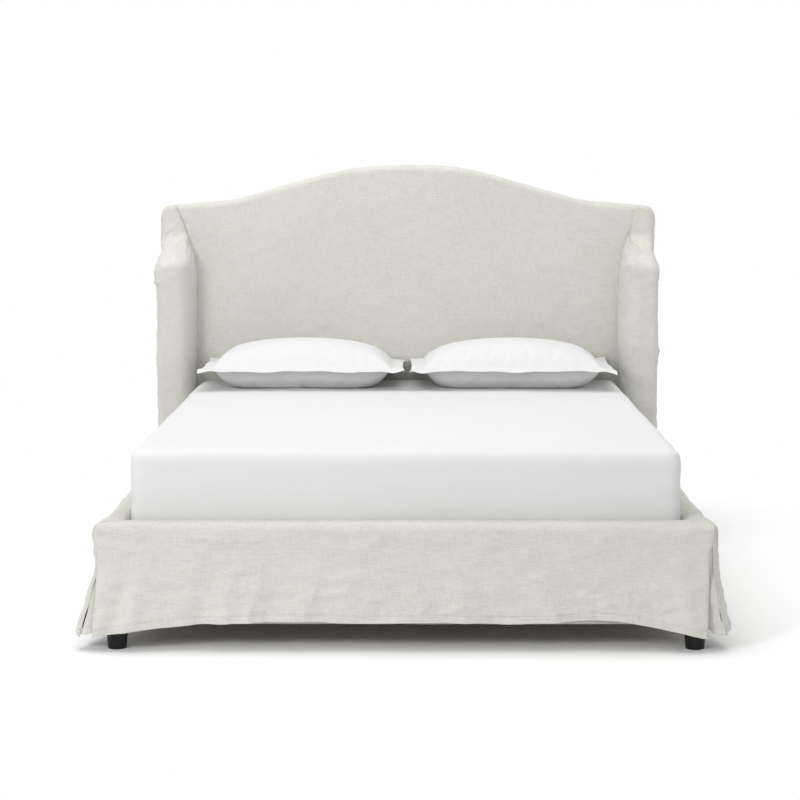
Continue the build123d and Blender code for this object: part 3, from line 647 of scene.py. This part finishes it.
for side, name, seed in ((1, "right", 71), (-1, "left", 72)):
    points, flat = kick_pleat(side, seed)
    pleat = woven(f"kick_pleat_{name}", points, flat, slip_linen, flip=side < 0)
    thickened(pleat)
    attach(pleat, "bedstead")
    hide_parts(f"corner_pleat_{name}")

# ----------------------------------------------------------------------
# Rail padding. Wadding and foam stapled over the rails under a plain linen lining, which shows as
# a straight edge below the lifted hem.
# ----------------------------------------------------------------------
LINING_INSET = 0.0035
LINING_ROLL = 0.010
# The lining is linen too, given a darker colour than the slipcover's: painted shade for the band under the
# lifted hem.
lining_linen = linen("lining_linen", (0.52, 0.515, 0.48), (0.45, 0.445, 0.41), stitched=False)


def lining_section():
    """From a little way under the rail, out, and up its outer face."""
    bottom = RAIL_BOTTOM - 0.0025
    top = RAIL_TOP - TUCK
    over, up = roll(LINING_ROLL, 6)
    across = [np.full(40, LINING_INSET), LINING_INSET + over,
              np.linspace(LINING_INSET + LINING_ROLL, RAIL_T - LINING_INSET, 9)[1:]]
    height = [np.linspace(top, bottom + LINING_ROLL, 40), bottom + LINING_ROLL - up,
              np.full(8, bottom - 0.0005)]
    return np.concatenate(across)[::-1], np.concatenate(height)[::-1]


def rail_lining(name, start, end, place, seed, flip=False):
    """A lining from start to end along a rail; place turns (along, in, height) into a point."""
    across, height = lining_section()
    run = np.linspace(0, 1, 121)
    columns = []
    for share in run:
        low, high = start(across), end(across)
        columns.append(place(low + share * (high - low), across, height))
    points = np.stack(columns, axis=1)
    along = lengths(points, 0)
    flat = np.stack([lengths(points, 1), np.broadcast_to(along, points.shape[:2])], axis=-1)
    points = round_corner(points)
    points[..., 2] += 0.0004 * rumple(points, 0.09, seed)
    return woven(name, points, flat, lining_linen, flip=flip)


foot_lining = rail_lining(
    "foot_rail_lining",
    lambda across: across - RAIL_HALF,
    lambda across: RAIL_HALF - across,
    lambda run, across, height: np.stack([run, FOOT_FACE + across, height], axis=-1),
    81,
)
thickened(foot_lining)
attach(foot_lining, "bedstead")
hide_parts("foot_rail_foam")
for side, name in ((1, "right"), (-1, "left")):
    lining = rail_lining(
        f"side_rail_lining_{name}",
        lambda across: FOOT_FACE + across,
        lambda across: np.full_like(across, SIDE_HIGH.y),
        lambda run, across, height: np.stack([side * (RAIL_HALF - across), run, height], axis=-1),
        82 + side,
        flip=side < 0,
    )
    thickened(lining)
    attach(lining, "bedstead")
    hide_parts(f"side_rail_foam_{name}")

# ----------------------------------------------------------------------
# Mattress and fitted sheet. The mattress has a woven ticking with corded edges; the sheet is
# smooth white cotton, pulled tight over it, with a sewn corner and elastic under its edge.
# ----------------------------------------------------------------------
SHEET_R = 0.036
SHEET_GATHER = 0.0012


def cotton(name, colour, shade):
    """Smooth percale: a very fine weave and a faint tone, nearly flat at arm's length."""
    material, tree, shader = surface(name, Sheen_Weight=0.12, Sheen_Roughness=0.4, Specular_IOR_Level=0.25)
    place = node(tree, "TexCoord", output=2)
    threads = streaks(tree, place, (900, 30, 1), 2.0) + streaks(tree, place, (30, 900, 1), 2.0)
    cloud = streaks(tree, place, (3, 3, 1), 2.0)
    tone = node(tree, "MapRange", None, [threads * 0.6 + cloud * 0.4, 0.6, 1.1, 0.0, 1.0])
    finish(tree, shader, blend_colours(tree, tone, shade, colour), threads, 0.25, 0.0003, threads,
           (0.7, 1.3, 0.78, 0.70))
    return material


white_cotton = cotton("white_cotton", (0.660, 0.660, 0.660), (0.640, 0.640, 0.642))


def rounded_box(name, low, high, radius, step, material, keep=None):
    """A box of quads with rolled edges, in one skin, its UVs laid flat from its nearest side."""
    low, high = np.array(low), np.array(high)
    size = high - low
    counts = [max(int(math.ceil(s / step)), 4) for s in size]
    places = [np.linspace(0, 1, n + 1) for n in counts]
    verts, faces, index = [], [], {}

    def corner(i, j, k):
        key = (i, j, k)
        if key not in index:
            index[key] = len(verts)
            verts.append((places[0][i], places[1][j], places[2][k]))
        return index[key]

    def at(axis, end, a, b):
        spot = [0, 0, 0]
        spot[axis] = end
        spot[(axis + 1) % 3], spot[(axis + 2) % 3] = a, b
        return corner(*spot)

    for axis in range(3):
        across, up = counts[(axis + 1) % 3], counts[(axis + 2) % 3]
        for end in (0, counts[axis]):
            for a in range(across):
                for b in range(up):
                    quad = [at(axis, end, a, b), at(axis, end, a + 1, b),
                            at(axis, end, a + 1, b + 1), at(axis, end, a, b + 1)]
                    faces.append(quad if end else quad[::-1])
    raw = low + np.array(verts) * size
    core = np.clip(raw, low + radius, high - radius)
    edge = raw - core
    reach = np.abs(edge).max(axis=1, keepdims=True)
    way = edge / np.maximum(np.linalg.norm(edge, axis=1, keepdims=True), 1e-9)
    points = core + way * reach
    mesh = bpy.data.meshes.new(name)
    mesh.from_pydata(points.tolist(), [], faces)
    facing = np.array([p.normal for p in mesh.polygons])
    middle = np.array([p.center for p in mesh.polygons])
    layer = mesh.uv_layers.new(name="flat")
    for polygon, normal in zip(mesh.polygons, facing):
        axis = int(np.argmax(np.abs(normal)))
        for loop in polygon.loop_indices:
            spot = points[mesh.loops[loop].vertex_index]
            layer.data[loop].uv = (spot[(axis + 1) % 3], spot[(axis + 2) % 3])
    if keep is not None:
        drop = [i for i, c in enumerate(middle) if not keep(c)]
        shape = bmesh.new()
        shape.from_mesh(mesh)
        shape.faces.ensure_lookup_table()
        bmesh.ops.delete(shape, geom=[shape.faces[i] for i in drop], context="FACES")
        shape.to_mesh(mesh)
        shape.free()
    return smooth_object(name, mesh, material)


def pushed(piece, change):
    """Moves each vertex by what change gives for its place and normal."""
    mesh = piece.data
    co = np.zeros(len(mesh.vertices) * 3)
    mesh.vertices.foreach_get("co", co)
    co = co.reshape(-1, 3)
    normal = np.zeros(len(mesh.vertices) * 3)
    mesh.vertices.foreach_get("normal", normal)
    mesh.vertices.foreach_set("co", (co + change(co, normal.reshape(-1, 3))).ravel())
    mesh.update()
    return piece


SHEET_LOW, SHEET_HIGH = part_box("fitted_sheet")
UNDER_HEM = 0.14


def above_hem(centre):
    """Whether a face of the fitted sheet is kept: all but the middle of its underside."""
    inside = (SHEET_LOW.x + UNDER_HEM < centre[0] < SHEET_HIGH.x - UNDER_HEM
              and SHEET_LOW.y + UNDER_HEM < centre[1] < SHEET_HIGH.y - UNDER_HEM)
    return not (centre[2] < SHEET_LOW.z + 0.02 and inside)


def sheet_folds(co, normal):
    """The sheet crowns a little, and its corners pull faint folds out of the sides."""
    middle = (np.array(SHEET_LOW) + np.array(SHEET_HIGH)) / 2
    half = (np.array(SHEET_HIGH) - np.array(SHEET_LOW)) / 2
    share = (co - middle) / half
    crown = 0.007 * (1 - share[:, 0] ** 4) * (1 - share[:, 1] ** 4) * (share[:, 2] > 0.5)
    near_corner = np.clip(np.abs(share[:, 0]) * np.abs(share[:, 1]), 0, 1) ** 24
    folds = 0.0016 * near_corner * np.sin(co[:, 2] * 2 * math.pi / 0.055 + co[:, 0] * 20)
    wave = 0.0010 * rumple(co, 0.35, 91) + 0.0003 * rumple(co, 0.07, 92)
    side_dip = -0.0025 * (1 - share[:, 2] ** 2) * (np.abs(normal[:, 2]) < 0.5)
    low_gather = SHEET_GATHER * np.sin((co[:, 0] + co[:, 1]) * 2 * math.pi / 0.018) * (share[:, 2] < -0.9)
    return normal * (crown + folds + wave + side_dip + low_gather)[:, None]


sheet = rounded_box("fitted_sheet_cotton", SHEET_LOW, SHEET_HIGH, SHEET_R, 0.014, white_cotton, above_hem)
pushed(sheet, sheet_folds)
thickened(sheet, 0.0016)
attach(sheet, "mattress")
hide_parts("fitted_sheet")


def ticking(name):
    """Woven mattress ticking: fine twill ribs in off-white."""
    material, tree, shader = surface(name, Specular_IOR_Level=0.2)
    place = node(tree, "TexCoord", output=2)
    u = node(tree, "SeparateXYZ", None, [place], output=0)
    v = node(tree, "SeparateXYZ", None, [place], output=1)
    slant = (u + v) * (2 * math.pi / 0.004)
    rib = slant.math("SINE") * 0.5 + 0.5
    fleck = streaks(tree, place, (300, 300, 1), 2.0)
    colour = blend_colours(tree, rib * 0.5 + fleck * 0.5, (0.70, 0.68, 0.62), (0.80, 0.79, 0.75))
    finish(tree, shader, colour, rib + fleck, 0.4, 0.0005, fleck, (0.3, 0.7, 0.9, 0.8))
    return material


MATTRESS_LOW, MATTRESS_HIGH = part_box("mattress")
TUFT_STEP = 0.20


def tufting(co, normal):
    """Shallow quilted dips on the two faces, and a corded edge at top and bottom."""
    flat_face = np.abs(normal[:, 2]) > 0.8
    dip = np.cos(co[:, 0] * 2 * math.pi / TUFT_STEP) * np.cos(co[:, 1] * 2 * math.pi / TUFT_STEP)
    middle = (MATTRESS_LOW.z + MATTRESS_HIGH.z) / 2
    cord = np.exp(-((np.abs(co[:, 2] - middle) - 0.095) / 0.006) ** 2) * ~flat_face
    return normal * (-0.004 - 0.002 * dip * flat_face - 0.0015 * (1 - cord) * ~flat_face)[:, None]


mattress = rounded_box("mattress_ticking_case", MATTRESS_LOW, MATTRESS_HIGH, 0.034, 0.022,
                       ticking("mattress_ticking"))
pushed(mattress, tufting)
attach(mattress, "mattress")
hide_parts("mattress")

# ----------------------------------------------------------------------
# Pillows. Each is a plump filling in a smooth cotton case with a flat sewn flange all round; the
# case swells between its seams and its flange waves where nothing holds it.
# ----------------------------------------------------------------------
PILLOW_GRID = (92, 66)
FLANGE = 0.048
SWELL_FRAMES, SWELL_CAP = 20, 0.022
PILLOW_RISE = 0.006


def pillow_grid(low, high, seed):
    """The case before it is filled: a top and a bottom skin that run on together as the flange."""
    centre = (np.array(low) + np.array(high)) / 2
    half_w, half_d = (high[0] - low[0]) / 2, (high[1] - low[1]) / 2
    body_w, body_d = half_w - FLANGE, half_d - FLANGE
    height = high[2] - low[2]
    seam_z = low[2] + 0.46 * height
    a, b = np.linspace(-1, 1, PILLOW_GRID[0]), np.linspace(-1, 1, PILLOW_GRID[1])
    across, along = np.meshgrid(np.sign(a) * (1 - (1 - np.abs(a)) ** 1.15),
                                np.sign(b) * (1 - (1 - np.abs(b)) ** 1.15))
    x, y = across * half_w, along * half_d
    in_x, in_y = np.clip(np.abs(x) / body_w, 0, 1), np.clip(np.abs(y) / body_d, 0, 1)
    dome = ((1 - in_x ** 2.2) * (1 - in_y ** 2.4)) ** 0.45
    belly = np.clip(1.15 * ((1 - in_x ** 5) * (1 - in_y ** 5)) ** 0.62, 0, 1)
    out = np.maximum(np.clip((np.abs(x) - body_w) / FLANGE, 0, 1),
                     np.clip((np.abs(y) - body_d) / FLANGE, 0, 1))
    pull = 1 - 0.03 * (1 - across ** 2) * np.abs(along) ** 3 - 0.02 * (1 - along ** 2) * np.abs(across) ** 3
    walk = np.arctan2(y / half_d, x / half_w)
    wave = out * (0.0022 * np.sin(walk * 7 + seed) + 0.0014 * np.sin(walk * 17 + 2 * seed) - 0.007)
    corner = np.clip(np.abs(across * along), 0, 1) ** 7
    wave += 0.008 * corner * np.sin(walk * 46 + seed)
    place = np.stack([x, y, 0 * x], axis=-1)
    near_seam = 0.2 + np.exp(-((1 - np.maximum(in_x, in_y)) / 0.12) ** 2)
    pucker = 0.0010 * rumple(place, 0.05, seed) * near_seam * (out == 0)
    edge = seam_z + wave
    rest = low[2] + PILLOW_RISE
    top = edge + 0.0011 + (high[2] - seam_z - 0.016) * dome + pucker * (dome > 0.05)
    bottom = edge - 0.0011 - (seam_z - rest) * belly
    px, py = centre[0] + x * pull, centre[1] + y * pull
    body = (np.maximum(in_x, in_y) < 0.985) & (out == 0)
    return np.stack([px, py, top], axis=-1), np.stack([px, py, bottom], axis=-1), place[..., :2], body


def swollen(piece, free, floor, ceiling):
    """Fills a sewn case: its free cloth swells under pressure, held at the seams, and rests on the bed."""
    mesh = piece.data
    start = np.zeros(len(mesh.vertices) * 3)
    mesh.vertices.foreach_get("co", start)
    start = start.reshape(-1, 3)
    held, filled = piece.vertex_groups.new(name="held"), piece.vertex_groups.new(name="filled")
    held.add(np.flatnonzero(~free).tolist(), 1.0, "REPLACE")
    filled.add(np.flatnonzero(free).tolist(), 1.0, "REPLACE")
    cloth = piece.modifiers.new("filling", "CLOTH")
    settings = cloth.settings
    settings.quality, settings.mass = 6, 0.15
    settings.tension_stiffness = settings.compression_stiffness = 12
    settings.shear_stiffness, settings.bending_stiffness = 4, 0.15
    settings.shrink_min = -0.010
    settings.use_pressure, settings.uniform_pressure_force = True, 4
    settings.vertex_group_mass, settings.vertex_group_pressure = held.name, filled.name
    settings.effector_weights.gravity = 0
    cloth.collision_settings.use_collision = False
    cloth.point_cache.frame_start, cloth.point_cache.frame_end = 1, SWELL_FRAMES
    scene = bpy.context.scene
    for step in range(1, SWELL_FRAMES + 1):
        scene.frame_set(step)
    seen = piece.evaluated_get(bpy.context.evaluated_depsgraph_get())
    end = np.zeros(len(start) * 3)
    seen.data.vertices.foreach_get("co", end)
    piece.modifiers.remove(cloth)
    piece.vertex_groups.clear()
    scene.frame_set(1)
    move = end.reshape(-1, 3) - start
    far = np.linalg.norm(move, axis=1, keepdims=True)
    placed = start + move * SWELL_CAP * np.tanh(far / SWELL_CAP) / np.maximum(far, 1e-9)
    placed[:, 2] = np.clip(placed[:, 2], floor, ceiling)
    mesh.vertices.foreach_set("co", placed.ravel())
    mesh.update()


def pillow_mesh(name, top, bottom, flat, material):
    """One closed skin from the two faces of the case."""
    rows, columns = top.shape[:2]
    count = rows * columns
    grid = np.arange(count).reshape(rows, columns)
    quads = np.stack([grid[:-1, :-1], grid[:-1, 1:], grid[1:, 1:], grid[1:, :-1]], axis=-1).reshape(-1, 4)
    rim = np.concatenate([grid[0, :-1], grid[:-1, -1], grid[-1, :0:-1], grid[:0:-1, 0]])
    onward = np.roll(rim, -1)
    sides = np.stack([rim, rim + count, onward + count, onward], axis=-1)
    faces = np.concatenate([quads, quads[:, ::-1] + count, sides])
    mesh = bpy.data.meshes.new(name)
    mesh.from_pydata(np.concatenate([top.reshape(-1, 3), bottom.reshape(-1, 3)]).tolist(), [], faces.tolist())
    uv = np.concatenate([flat.reshape(-1, 2), flat.reshape(-1, 2) + 1])
    mesh.uv_layers.new(name="flat").data.foreach_set("uv", uv[faces].astype(np.float32).ravel())
    return smooth_object(name, mesh, material)


for name, seed in (("right", 3), ("left", 6)):
    low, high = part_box(f"pillowcase_{name}")
    top, bottom, flat, body = pillow_grid(low, high, seed)
    pillow = pillow_mesh(f"pillow_in_flanged_case_{name}", top, bottom, flat, white_cotton)
    swollen(pillow, np.tile(body.ravel(), 2), low.z + PILLOW_RISE, high.z + 0.005)
    finer = pillow.modifiers.new("finer", "SUBSURF")
    finer.levels = finer.render_levels = 1
    applied(pillow)
    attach(pillow, f"pillow_{name}")
    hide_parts(f"pillowcase_{name}", f"pillow_{name}")

# ----------------------------------------------------------------------
# Wooden frame. Planed softwood posts, rails, slats and legs; birch plywood panels and rail boxes;
# hardboard across the back. The wood is unfinished, and its grain runs along each piece.
# ----------------------------------------------------------------------
def wood(name, light, dark, along, ply=False):
    """Planed wood with its grain along one axis, in a material of its own."""
    material, tree, shader = surface(name, Specular_IOR_Level=0.3)
    place = node(tree, "TexCoord", output=3)
    slow, fast = 2.2, 60.0
    scale = tuple(slow if axis == along else fast for axis in range(3))
    fibre = streaks(tree, place, scale, 5.0)
    wide = streaks(tree, place, tuple(s * 0.22 for s in scale), 3.0)
    rings = (wide * 26).math("SINE") * 0.5 + 0.5
    tone = fibre * 0.55 + rings * 0.45
    colour = blend_colours(tree, tone, dark, light)
    if ply:
        patch = streaks(tree, place, (3, 3, 3), 2.0)
        colour = blend_colours(tree, patch * 0.4, colour, tuple(0.85 * c for c in light))
    finish(tree, shader, colour, fibre, 0.3, 0.0008, fibre, (0.3, 0.7, 0.62, 0.78))
    return material


def dress(name, material):
    """Gives a CAD node its finish."""
    nodes[name].data.materials.clear()
    nodes[name].data.materials.append(material)


PINE_LIGHT, PINE_DARK = (0.68, 0.57, 0.43), (0.50, 0.39, 0.27)
pine = [wood(f"pine_along_{axis}", PINE_LIGHT, PINE_DARK, i) for i, axis in enumerate("xyz")]
plywood = [wood(f"plywood_along_{axis}", (0.66, 0.56, 0.43), (0.54, 0.43, 0.31), i, ply=True)
           for i, axis in enumerate("xyz")]
hardboard = wood("hardboard", (0.24, 0.14, 0.08), (0.17, 0.10, 0.055), 2, ply=True)
ALONG = {
    0: ("headboard_top_rail", "headboard_middle_rail", "headboard_bottom_rail", "slats"),
    1: ("slat_ledge_left", "slat_ledge_right", "center_beam"),
    2: ("headboard_post_left", "headboard_post_right", "headboard_stiles", "wing_front_stud_left",
        "wing_front_stud_right", "center_leg_foot", "center_leg_middle", "center_leg_head"),
}
PLY_ALONG = {
    0: ("headboard_front_panel", "foot_rail"),
    1: ("side_rail_left", "side_rail_right"),
    2: ("wing_inner_panel_left", "wing_inner_panel_right", "wing_outer_panel_left", "wing_outer_panel_right"),
}
for axis, names in ALONG.items():
    for name in names:
        dress(name, pine[axis])
for axis, names in PLY_ALONG.items():
    for name in names:
        dress(name, plywood[axis])
dress("headboard_back_panel", hardboard)

# ----------------------------------------------------------------------
# Feet. Round tapered hardwood, turned and lacquered black, each screwed up into a rail or a
# headboard post by a threaded stud.
# ----------------------------------------------------------------------
def lacquer(name):
    """Black lacquer over a faint wood grain, scuffed a little."""
    material, tree, shader = surface(name, Specular_IOR_Level=0.22, Coat_Weight=0.04, Coat_Roughness=0.3)
    place = node(tree, "TexCoord", output=3)
    grain = streaks(tree, place, (160, 160, 9), 4.0)
    scuff = streaks(tree, place, (40, 40, 40), 3.0)
    colour = blend_colours(tree, grain, (0.006, 0.006, 0.007), (0.013, 0.013, 0.014))
    finish(tree, shader, colour, grain, 0.2, 0.0004, scuff, (0.35, 0.7, 0.30, 0.46))
    return material


black_lacquer = lacquer("black_foot")
for name in ("foot_front_left", "foot_front_right", "foot_head_left", "foot_head_right"):
    dress(name, black_lacquer)

# ----------------------------------------------------------------------
# Hardware. Zinc-plated steel hangers, brackets, screws and bolts hold the rails and the beam;
# black moulded glides level the centre legs; two woven tapes are stapled along the slats.
# ----------------------------------------------------------------------
def zinc(name):
    """Bright zinc plate with a fine spangle."""
    material, tree, shader = surface(name, Metallic=1.0)
    place = node(tree, "TexCoord", output=3)
    spangle = streaks(tree, place, (120, 120, 120), 2.0)
    brush = streaks(tree, place, (20, 20, 600), 2.0)
    colour = blend_colours(tree, spangle, (0.50, 0.50, 0.48), (0.68, 0.68, 0.66))
    finish(tree, shader, colour, brush, 0.1, 0.0003, brush, (0.3, 0.7, 0.28, 0.45))
    return material


def moulded(name):
    """Black moulded plastic, lightly stippled."""
    material, tree, shader = surface(name, Specular_IOR_Level=0.45)
    place = node(tree, "TexCoord", output=3)
    stipple = streaks(tree, place, (900, 900, 900), 2.0)
    colour = blend_colours(tree, stipple, (0.016, 0.016, 0.017), (0.030, 0.030, 0.031))
    finish(tree, shader, colour, stipple, 0.3, 0.0003, stipple, (0.3, 0.7, 0.45, 0.6))
    return material


zinc_steel, black_plastic = zinc("zinc_steel"), moulded("black_plastic")
for name in ("beam_hangers", "corner_brackets", "bracket_screws", "frame_bolts"):
    dress(name, zinc_steel)
for name in ("leg_glide_foot", "leg_glide_middle", "leg_glide_head"):
    dress(name, black_plastic)


def tape(name):
    """Ribbed woven cotton tape."""
    material, tree, shader = surface(name, Specular_IOR_Level=0.2)
    place = node(tree, "TexCoord", output=3)
    ribs = streaks(tree, place, (1500, 60, 60), 2.0)
    colour = blend_colours(tree, ribs, (0.42, 0.39, 0.33), (0.60, 0.57, 0.50))
    finish(tree, shader, colour, ribs, 0.4, 0.0004, ribs, (0.3, 0.7, 0.9, 0.8))
    return material


dress("slat_webbing", tape("webbing"))

# ----------------------------------------------------------------------
# Studio. A plain white floor that fades out beyond the bed into an even white room, a large soft
# light overhead, and a nearer one in front on the left.
# ----------------------------------------------------------------------
FLOOR_R, FLOOR_SIDES = 4.0, 96
SHADOW_NEAR, SHADOW_REACH = 0.12, 0.7
ROOM_LIGHT = 1.05
EYE = (0.0155, -7.012, 1.319)
PITCH, YAW = math.radians(90 - 6.082), math.radians(0.306)
LENS = 99.0


def white_floor():
    """White paper that fades to nothing a little way out from the bed."""
    material, tree, shader = surface("white_floor", Roughness=0.9, Specular_IOR_Level=0.0)
    place = node(tree, "TexCoord", output=3)
    cloud = streaks(tree, place, (2, 2, 2), 2.0)
    apart = node(tree, "VectorMath", {"operation": "ABSOLUTE"}, [place])
    beyond = node(tree, "VectorMath", {"operation": "SUBTRACT"}, [apart, (0.9, 1.11, 0.0)])
    beyond = node(tree, "VectorMath", {"operation": "MAXIMUM"}, [beyond, (0.0, 0.0, 0.0)])
    away = node(tree, "VectorMath", {"operation": "LENGTH"}, [beyond], output=1)
    fade = node(tree, "MapRange", {"interpolation_type": "SMOOTHSTEP"},
                [away, SHADOW_NEAR, SHADOW_REACH, 1.0, 0.0])
    grey = blend_colours(tree, cloud, (0.88, 0.88, 0.88), (0.90, 0.90, 0.90))
    connect(tree, shader, Base_Color=grey, Alpha=fade)
    return material


def softbox(name, place, target, side, power):
    """A square area light aimed at a point."""
    light = bpy.data.lights.new(name, "AREA")
    light.shape, light.size = "SQUARE", side
    light.energy = power
    lamp = bpy.data.objects.new(name, light)
    bpy.context.scene.collection.objects.link(lamp)
    lamp.location = place
    lamp.rotation_euler = (Vector(target) - Vector(place)).to_track_quat("-Z", "Y").to_euler()


mesh = bpy.data.meshes.new("floor")
turns = np.linspace(0, 2 * math.pi, FLOOR_SIDES + 1)[:-1]
rim = np.stack([FLOOR_R * np.cos(turns), FLOOR_R * np.sin(turns), 0 * turns], axis=1)
wedges = [(0, 1 + i, 1 + (i + 1) % FLOOR_SIDES) for i in range(FLOOR_SIDES)]
mesh.from_pydata([(0, 0, 0), *rim.tolist()], [], wedges)
smooth_object("floor", mesh, white_floor())

world = bpy.data.worlds.new("white_room")
world.use_nodes = True
tree = world.node_tree
bright = node(tree, "Background", None, {"Color": (1, 1, 1, 1), "Strength": 1.0})
dim = node(tree, "Background", None, {"Color": (0.8, 0.8, 0.8, 1), "Strength": ROOM_LIGHT})
either = node(tree, "MixShader", None, [node(tree, "LightPath"), dim, bright])
tree.links.new(either.socket, tree.nodes["World Output"].inputs["Surface"])
bpy.context.scene.world = world
softbox("overhead", place=(-0.4, 0.0, 4.2), target=(0, 0.1, 0), side=4.0, power=86)
softbox("front_left", place=(-2.8, -4.8, 2.4), target=(0, -0.4, 0.5), side=1.2, power=98)

camera = bpy.data.objects.new("camera", bpy.data.cameras.new("camera"))
bpy.context.scene.collection.objects.link(camera)
camera.location = EYE
camera.rotation_euler = (PITCH, 0, YAW)
camera.data.lens = LENS
camera.data.sensor_width = 36
camera.data.clip_end = 200
bpy.context.scene.camera = camera
bpy.context.scene.view_settings.view_transform = "Standard"
